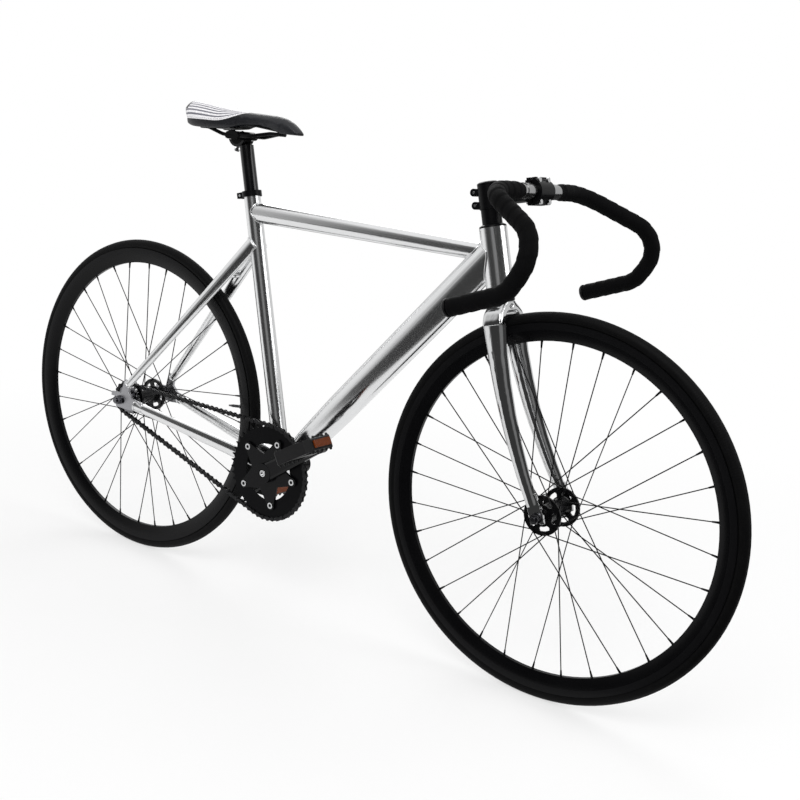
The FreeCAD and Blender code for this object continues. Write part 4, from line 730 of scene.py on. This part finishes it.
class BICYCLE_OT_seat(bpy.types.Operator):
    """Black seat post and rail clamp, bright cradle bolt, black rails and base"""
    bl_idname = "bicycle.seat"
    bl_label = "Seat post"

    def execute(self, context):
        dress("seatpost", anodised("post_black", 0.15, 0.4), edge=0.0005)
        dress("seat_collar", anodised("collar_black", 0.3), edge=0.0005)
        dress("seat_collar_bolt", machined("bolt_steel"), edge=0.0003)
        for node in ("saddle_clamp_upper", "saddle_clamp_lower"):
            dress(node, anodised("clamp_black", 0.36), edge=0.0005)
        dress("saddle_clamp_bolt", machined("bolt_steel"), edge=0.0003)
        dress("saddle_rails", anodised("rail_black", 0.3))
        dress("saddle_shell", resin("shell_resin"), edge=0.0005)
        return {"FINISHED"}


class BICYCLE_OT_saddle(bpy.types.Operator):
    """Blown-up leather cover of the saddle"""
    bl_idname = "bicycle.saddle"
    bl_label = "Saddle cover"

    def execute(self, context):
        cover = finished(merged_copy("saddle_cover"), "saddle_leather", saddle_leather("saddle_leather"), "saddle",
                         180.0)
        in_cells(cover, trim().saddle_voxel)
        self.blow_up(context.scene, cover)
        self.hang_skirt(cover)
        finer = cover.modifiers.new("finer", "SUBSURF")
        finer.levels = finer.render_levels = 1
        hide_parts("saddle_cover")
        return {"FINISHED"}

    def hang_skirt(self, cover):
        """The cover's lower edge drawn down over the edge of the base, most of all at the back."""
        low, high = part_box("saddle_cover")
        for vertex in cover.data.vertices:
            share = (vertex.co.x - low.x) / (high.x - low.x)
            edge = 1 - ramp(vertex.co.z - low.z, 0.006, 0.024)
            back = 1 - ramp(share, 0.42, 0.67)
            nose = ramp(share, 0.74, 0.82)
            vertex.co.z -= trim().saddle_skirt * edge * (back * back + nose * 0.43)
            tip = ramp(share, 0.8, 1.0) ** 2
            vertex.co += Vector((0.002, 0, 0.004 * (1 - edge))) * tip

    def blow_up(self, scene, cover):
        """Air blown under the cover, with its underside and its middle channel held."""
        sizes, mesh = trim(), cover.data
        low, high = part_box("saddle_cover")
        held = cover.vertex_groups.new(name="held")
        for vertex in mesh.vertices:
            share = (vertex.co.x - low.x) / (high.x - low.x)
            in_channel = abs(vertex.co.y) < 0.006 and share < 0.45
            under = vertex.normal.z < -0.4
            held.add([vertex.index], 1.0 if under else 0.8 * in_channel, "REPLACE")
            if not under:
                vertex.co -= vertex.normal * sizes.saddle_ease
        start = [vertex.co.copy() for vertex in mesh.vertices]
        cloth = cover.modifiers.new("blown", "CLOTH")
        cloth.settings.use_pressure = True
        cloth.settings.uniform_pressure_force = 4.0
        cloth.settings.effector_weights.gravity = 0.0
        cloth.settings.vertex_group_mass = held.name
        cloth.point_cache.frame_end = sizes.saddle_frames
        for number in range(1, sizes.saddle_frames + 1):
            scene.frame_set(number)
        blown = shape_now(cover)
        cover.modifiers.clear()
        cover.vertex_groups.clear()
        for vertex, spot, swollen in zip(mesh.vertices, start, blown.vertices):
            move = swollen.co - spot
            vertex.co = spot + move * min(1.0, sizes.saddle_swell / max(move.length, 1e-9))
        scene.frame_set(1)


class BICYCLE_OT_wheels(bpy.types.Operator):
    """Tyres with tread, gloss rims and black hubs"""
    bl_idname = "bicycle.wheels"
    bl_label = "Wheels"

    def execute(self, context):
        for end, axle in WHEELS:
            dress(end + "_tyre", tyre_rubber(end + "_tyre_rubber", axle), 60.0)
            dress(end + "_rim", rim_black(end + "_rim_black", axle), 40.0)
            dress(end + "_hub", anodised("hub_black", 0.24, 0.25), edge=0.0004)
        return {"FINISHED"}


class BICYCLE_OT_spokes(bpy.types.Operator):
    """Black spokes, a nipple on each and the two valves"""
    bl_idname = "bicycle.spokes"
    bl_label = "Spokes and valves"

    def execute(self, context):
        for end, axle in WHEELS:
            dress(end + "_spokes", anodised("spoke_black", 0.28), 50.0)
            self.nipples(end, axle)
        self.valve("rear", REAR_AXLE, math.radians(6.9))
        self.valve("front", FRONT_AXLE, math.radians(112.5))
        return {"FINISHED"}

    def nipples(self, end, axle):
        """One turned nipple on the rim end of each spoke."""
        sizes, few, collar, sides = trim(), 6, 0.002, 8
        spokes, bm = merged_copy(end + "_spokes"), bmesh.new()
        for shell in islands(spokes):
            reach = sorted(shell, key=lambda vertex: (vertex.co - axle).length)
            inner, outer = middle_of(reach[:few]), middle_of(reach[-few:])
            along = (inner - outer).normalized()
            foot = outer - along * 0.0005
            cone(bm, foot, along, sizes.nipple_width * 0.62, sizes.nipple_width / 2, collar, sides)
            cone(bm, foot + along * (collar - 0.0001), along, sizes.nipple_width / 2, sizes.nipple_width * 0.36,
                 sizes.nipple_length - collar, sides)
        spokes.free()
        piece = finished(bm, end + "_nipples", anodised("nipple_black", 0.22), end + "_wheel", 50.0)

    def valve(self, end, axle, angle):
        """Threaded valve stem with its nut and its core."""
        sizes, bm = trim(), bmesh.new()
        out = Vector((math.cos(angle), 0, math.sin(angle)))
        foot, long, turns, sides = axle + out * RIM_BED, sizes.valve_length, 12, 12
        step = (long - 0.012) / turns
        nut = (0.0, 0.0052, 0.0046, 0.0035)
        thread = [(0.0034 + step * turn, 0.0030, 0.0026, step * 1.02) for turn in range(turns)]
        neck, core = (long - 0.0087, 0.0026, 0.0021, 0.004), (long - 0.0048, 0.0021, 0.0017, 0.0048)
        for inward, root, tip, tall in (nut, *thread, neck, core):
            cone(bm, foot - out * inward, -out, root, tip, tall, sides)
        piece = finished(bm, end + "_valve", machined("valve_metal", (0.1, 0.1, 0.105), 0.25), end + "_wheel", 40.0)


class BICYCLE_OT_drive(bpy.types.Operator):
    """Black cranks and ring, oiled chain, cog and bright bolts"""
    bl_idname = "bicycle.drive"
    bl_label = "Drive"

    def execute(self, context):
        for node in ("crank_right", "crank_left"):
            dress(node, anodised("crank_black", 0.2, 0.12), edge=0.0008)
        dress("chainring", anodised("ring_black", 0.3, 0.05), edge=0.0003)
        for node in ("crank_bolts", "pedal_axles", "crank_spindle"):
            dress(node, machined("drive_steel", rough=0.2), edge=0.0003)
        self.sockets()
        dress("rear_cog", machined("cog_steel", (0.2, 0.2, 0.21)), edge=0.0003)
        dress("rear_lockring", machined("cog_steel"), edge=0.0003)
        for kind, tone, rough in (("outer", (0.02, 0.02, 0.021), 0.36), ("inner", (0.028, 0.028, 0.03), 0.34)):
            dress("chain_" + kind + "_links", chain_steel(kind + "_link_steel", tone, rough), edge=0.00015,
                  shape=self.draw_in)
        return {"FINISHED"}

    def draw_in(self, bm):
        """The waist of each chain link, between its two pins."""
        pin = trim().chain_pitch / 2
        sides = [edge for edge in bm.edges if edge.calc_length() > 1.2 * pin]
        bmesh.ops.subdivide_edges(bm, edges=sides, cuts=5, use_grid_fill=True)
        for shell in islands(bm):
            middle = middle_of(shell)
            along = max((vertex.co - middle for vertex in shell), key=lambda reach: reach.xz.length)
            along = Vector((along.x, 0, along.z)).normalized()
            across = along.cross(Y)
            tall = max(abs((vertex.co - middle).dot(across)) for vertex in shell)
            for vertex in shell:
                run, rise = (vertex.co - middle).dot(along) / pin, (vertex.co - middle).dot(across)
                if abs(run) < 1 and abs(rise) > 0.75 * tall:
                    vertex.co -= across * rise * trim().chain_waist * (1 - run * run) ** 2

    def sockets(self):
        """A flat dark hexagon just proud of the head of each chainring bolt, painted shade that stands in for its
        socket.
        """
        bolts, bm = merged_copy("crank_bolts"), bmesh.new()
        inside, proud = 0.04, 0.00005  # the crank's own bolts lie inside this radius
        for shell in islands(bolts):
            middle = middle_of(shell)
            if (middle - CRANK).cross(Y).length > inside:
                face = min(vertex.co.y for vertex in shell)
                spot = Vector((middle.x, face - proud, middle.z))
                # painted shade: a flat dark hexagon, not a recess, stands in for the shade in the socket
                bmesh.ops.create_circle(bm, cap_ends=True, segments=6, radius=trim().socket_shade_width / 2,
                                        matrix=facing(spot, -Y))
        bolts.free()
        piece = finished(bm, "bolt_socket_shades", anodised("socket_black", 0.5, 0.05), "crankset", 20.0)


class BICYCLE_OT_pedals(bpy.types.Operator):
    """Moulded pedals with amber reflectors"""
    bl_idname = "bicycle.pedals"
    bl_label = "Pedals"

    def execute(self, context):
        for side, turn in (("right", math.radians(-30.0)), ("left", 0.0)):
            dress("pedal_" + side, resin("pedal_resin"), edge=0.0006)
            centre = joint_point(side + "_pedal_spin")
            lens = amber_lens("amber_" + side, centre, (0, turn, 0))
            dress("pedal_reflectors_" + side, lens, edge=0.0005)
            self.teeth(side, Matrix.Translation(centre) @ Matrix.Rotation(turn, 4, "Y"))
        return {"FINISHED"}

    def teeth(self, side, place):
        """Rows of grip teeth along the front and back of both treads."""
        sizes, bm = trim(), bmesh.new()
        low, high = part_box("pedal_left")
        wide, tall = high.x - low.x, high.z - low.z
        middle = (low.y + high.y) / 2 * (1 if side == "left" else -1) - place.translation.y
        fore, rise = wide / 2 - 0.0055, tall / 2 - 0.0004
        for end, face, number in itertools.product((-1, 1), (-1, 1), range(-2, 3)):
            spot = Vector((end * fore, middle + number * sizes.tooth_step, face * rise))
            cone(bm, place @ spot, place.to_3x3() @ (Z * face), sizes.tooth_height * 0.8,
                 sizes.tooth_height * 0.35, sizes.tooth_height, 12)
        teeth = finished(bm, "pedal_teeth_" + side, resin("pedal_resin"), side + "_pedal", 50.0)


class BICYCLE_OT_tape(bpy.types.Operator):
    """Tape wound round each half of the bar, with a plug in each end"""
    bl_idname = "bicycle.tape"
    bl_label = "Bar tape"

    def execute(self, context):
        for side, hand in (("left", 1), ("right", -1)):
            self.winding(side, hand)
            self.plug(side, hand)
        return {"FINISHED"}

    def winding(self, side, hand):
        """Turns that each lie over the edge of the one before, from a finishing band to the bar's end."""
        sizes, bm, rising = trim(), bmesh.new(), 0.86  # share of a turn over which the tape rises
        step = sizes.tape_pitch / 9
        route = stations(bar_route(hand), step)
        band = round(sizes.tape_band / step)

        def reach(number, angle):
            if number in (0, len(route) - 1):
                return sizes.bar_radius
            if number < band:
                return sizes.bar_radius + 0.0007
            turn = (number * step / sizes.tape_pitch + hand * angle / (2 * math.pi)) % 1.0
            lap = turn / rising if turn < rising else (1 - turn) / (1 - rising)
            return sizes.bar_radius + sizes.tape_thin + sizes.tape_lap * lap ** 0.7

        sweep(bm, route, 32, reach)
        bmesh.ops.recalc_face_normals(bm, faces=bm.faces)
        tape = finished(bm, "wound_tape_" + side, wound_tape("tape_" + side), "drop_bar", 60.0)
        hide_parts("bar_tape_" + side)

    def plug(self, side, hand):
        """Moulded plug with a domed flange, pushed into the bar's end."""
        bm = bmesh.new()
        route = bar_route(hand)
        end, along = route[-1], (route[-1] - route[-2]).normalized()
        # how far each ring of the plug stands out, and its radius
        shape = [(0.0, 0.0140), (0.0012, 0.0146), (0.0032, 0.0143), (0.0052, 0.0128), (0.0063, 0.0095),
                 (0.0067, 0.005)]
        rings = [(end + along * (tall - 0.0008), along) for tall, _ in shape]
        last = sweep(bm, rings, 32, lambda number, angle: shape[number][1])
        bmesh.ops.contextual_create(bm, geom=last)
        bmesh.ops.recalc_face_normals(bm, faces=bm.faces)
        plug = finished(bm, "bar_plug_" + side, resin("plug_resin"), "drop_bar", 50.0)


class BICYCLE_OT_stage(bpy.types.Operator):
    """Pale floor, soft lamps, white surround and the camera"""
    bl_idname = "bicycle.stage"
    bl_label = "Stage"

    def execute(self, context):
        stage = context.scene.bicycle_stage
        context.scene.view_settings.view_transform = "Standard"
        self.floor(stage)
        self.surround(context.scene, stage)
        self.dark_room(stage)
        self.dark_card(stage, "studio_card_right", (0.4, -stage.card_edge), stage.card_turn)
        self.dark_card(stage, "studio_card_left", (0.0, 1.0), math.pi)
        for name, spot, size, share in (("key", (1.3, -3.2, 3.6), 2.6, 1.0), ("fill", (3.4, 1.2, 2.2), 2.0, 0.4),
                                        ("back", (-2.6, 2.8, 2.8), 2.2, 0.5)):
            self.lamp(name, Vector(spot), Vector((0, 0, 0.45)), size, stage.lamp_power * share)
        self.camera(context.scene, stage)
        return {"FINISHED"}

    def floor(self, stage):
        """A round floor that keeps the shadow near the bicycle and goes to plain white far off."""
        bm = bmesh.new()
        bmesh.ops.create_circle(bm, cap_ends=True, segments=96, radius=9.0)
        look = Look("floor_white", {"Base Color": (*stage.floor, 1), "Roughness": 0.9, "Specular IOR Level": 0.0})
        x, y, _ = look.parts(look.place())
        far = ((x * x + y * y) ** 0.5).step(0.9, 2.2)
        glow = look.node("ShaderNodeEmission", {}, {"Color": (1, 1, 1, 1), "Strength": 1.0})
        near = Value(look, look.shader.outputs[0])
        mixed = look.node("ShaderNodeMixShader", {}, {0: (far * 0.4 + 0.6) * seen(look), 1: near, 2: glow})
        look.put(look.tree.nodes["Material Output"].inputs[0], mixed)
        floor = linked(bm, "studio_floor", look)

    def dark_room(self, stage):
        """A dim wall round the set, pale on the left and behind and in one strip, which only bright surfaces show."""
        bm = bmesh.new()
        bmesh.ops.create_cone(bm, cap_ends=False, segments=64, radius1=stage.room_radius, radius2=stage.room_radius,
                              depth=stage.room_height, matrix=Matrix.Translation((0, 0, stage.room_height / 2)))
        bmesh.ops.reverse_faces(bm, faces=bm.faces)
        look, top = Look("room_grey", {}), 2.0  # top is past the brightest level that the wall reaches
        x, y, _ = look.parts(look.place(size=(stage.room_radius, stage.room_radius, 1)))
        left = (x * -0.98 + y * -0.17).step(0.62, 0.98)
        beside = (x * 0.454 + y * -0.891).step(0.94, 0.99)
        level = left * 0.9 + y.step(0.25, 0.75) * 0.7 + beside * 0.17 + stage.room_level
        look.glow(look.blend(level / top, (0, 0, 0), (1, 1, 1)), top)
        self.only_in_gloss(linked(bm, "studio_room", look))

    def dark_card(self, stage, name, spot, turn):
        """A dim sheet on the floor beside the set, which gives the tubes a dark streak."""
        bm = bmesh.new()
        bmesh.ops.create_grid(bm, x_segments=1, y_segments=1, size=stage.room_radius)
        bmesh.ops.translate(bm, verts=bm.verts, vec=(0, -stage.room_radius, 0))
        bmesh.ops.rotate(bm, verts=bm.verts, matrix=Matrix.Rotation(turn, 3, "Z"))
        bmesh.ops.translate(bm, verts=bm.verts, vec=(*spot, 0.004))
        look = Look("card_grey", {})
        look.glow((1, 1, 1, 1), stage.room_level)
        self.only_in_gloss(linked(bm, name, look))

    def only_in_gloss(self, panel):
        """Hide a stage panel from all but reflections."""
        panel.visible_camera = panel.visible_diffuse = panel.visible_shadow = panel.visible_transmission = False

    def surround(self, scene, stage):
        """Even light from all round that looks white to the camera and in gloss."""
        scene.world = scene.world or bpy.data.worlds.new("studio")
        scene.world.use_nodes = True
        look = Look.__new__(Look)  # on the world's nodes, which have no shader of a surface
        look.tree = scene.world.node_tree
        look.tree.nodes.clear()
        soft = look.node("ShaderNodeBackground", {}, {"Color": (1, 1, 1, 1), "Strength": stage.fill})
        white = look.node("ShaderNodeBackground", {}, {"Color": (1, 1, 1, 1), "Strength": 1.0})
        mixed = look.node("ShaderNodeMixShader", {}, {0: seen(look), 1: soft, 2: white})
        output = look.tree.nodes.new("ShaderNodeOutputWorld")
        look.put(output.inputs[0], mixed)

    def lamp(self, name, spot, aim, size, power):
        """A square soft lamp that faces aim."""
        data = bpy.data.lights.new(name, "AREA")
        data.size = size
        data.energy = power
        lamp = bpy.data.objects.new(name, data)
        lamp.location = spot
        lamp.rotation_euler = (spot - aim).to_track_quat("Z", "Y").to_euler()
        bpy.context.scene.collection.objects.link(lamp)

    def camera(self, scene, stage):
        """Camera in front of the bicycle on its right, a little above the wheels and slightly rolled."""
        turn, rise, roll, reach = 0.58996, 0.21817, 0.093, 2.01663
        target = Vector((0.169436, 0, 0.459375))
        back = Vector((math.sin(turn) * math.cos(rise), -math.cos(turn) * math.cos(rise), math.sin(rise)))
        side = Vector((math.cos(turn), math.sin(turn), 0))
        up = back.cross(side)
        side, up = side * math.cos(roll) + up * math.sin(roll), up * math.cos(roll) - side * math.sin(roll)
        data = bpy.data.cameras.new("photograph")
        data.lens = stage.lens
        data.sensor_width = 36.0
        data.sensor_fit = "HORIZONTAL"
        camera = bpy.data.objects.new("photograph", data)
        camera.matrix_world = Matrix.Translation(target + back * reach) @ Matrix((side, up, back)).transposed().to_4x4()
        scene.collection.objects.link(camera)
        scene.camera = camera


def seen(look):
    """1 for rays that show the surround: from the camera, in gloss and through glass."""
    path = look.tree.nodes.new("ShaderNodeLightPath")
    rays = [Value(look, path.outputs[name]) for name in ("Is Camera Ray", "Is Glossy Ray", "Is Transmission Ray")]
    return (rays[0] + rays[1] + rays[2]) > 0.5


OPERATORS = [BICYCLE_OT_frame, BICYCLE_OT_welds, BICYCLE_OT_fork, BICYCLE_OT_stem, BICYCLE_OT_seat, BICYCLE_OT_saddle,
             BICYCLE_OT_wheels, BICYCLE_OT_spokes, BICYCLE_OT_drive, BICYCLE_OT_pedals, BICYCLE_OT_tape,
             BICYCLE_OT_stage]


class BICYCLE_PT_panel(bpy.types.Panel):
    """The bicycle's pieces"""
    bl_idname = "BICYCLE_PT_panel"
    bl_label = "Fixed gear bicycle"
    bl_space_type = "VIEW_3D"
    bl_region_type = "UI"
    bl_category = "Bicycle"

    def draw(self, context):
        for operator in OPERATORS:
            self.layout.operator(operator.bl_idname)


GROUPS = {"bicycle_colours": BicycleColours, "bicycle_trim": BicycleTrim, "bicycle_stage": BicycleStage}
CLASSES = [*GROUPS.values(), *OPERATORS, BICYCLE_PT_panel]


def register():
    for cls in CLASSES:
        bpy.utils.register_class(cls)
    for name, group in GROUPS.items():
        setattr(bpy.types.Scene, name, PointerProperty(type=group))


def unregister():
    for name in GROUPS:
        delattr(bpy.types.Scene, name)
    for cls in reversed(CLASSES):
        bpy.utils.unregister_class(cls)


def main():
    register()
    bpy.ops.bicycle.frame()
    bpy.ops.bicycle.welds()
    bpy.ops.bicycle.fork()
    bpy.ops.bicycle.stem()
    bpy.ops.bicycle.seat()
    bpy.ops.bicycle.saddle()
    bpy.ops.bicycle.wheels()
    bpy.ops.bicycle.spokes()
    bpy.ops.bicycle.drive()
    bpy.ops.bicycle.pedals()
    bpy.ops.bicycle.tape()
    bpy.ops.bicycle.stage()


if __name__ == "__main__":
    main()
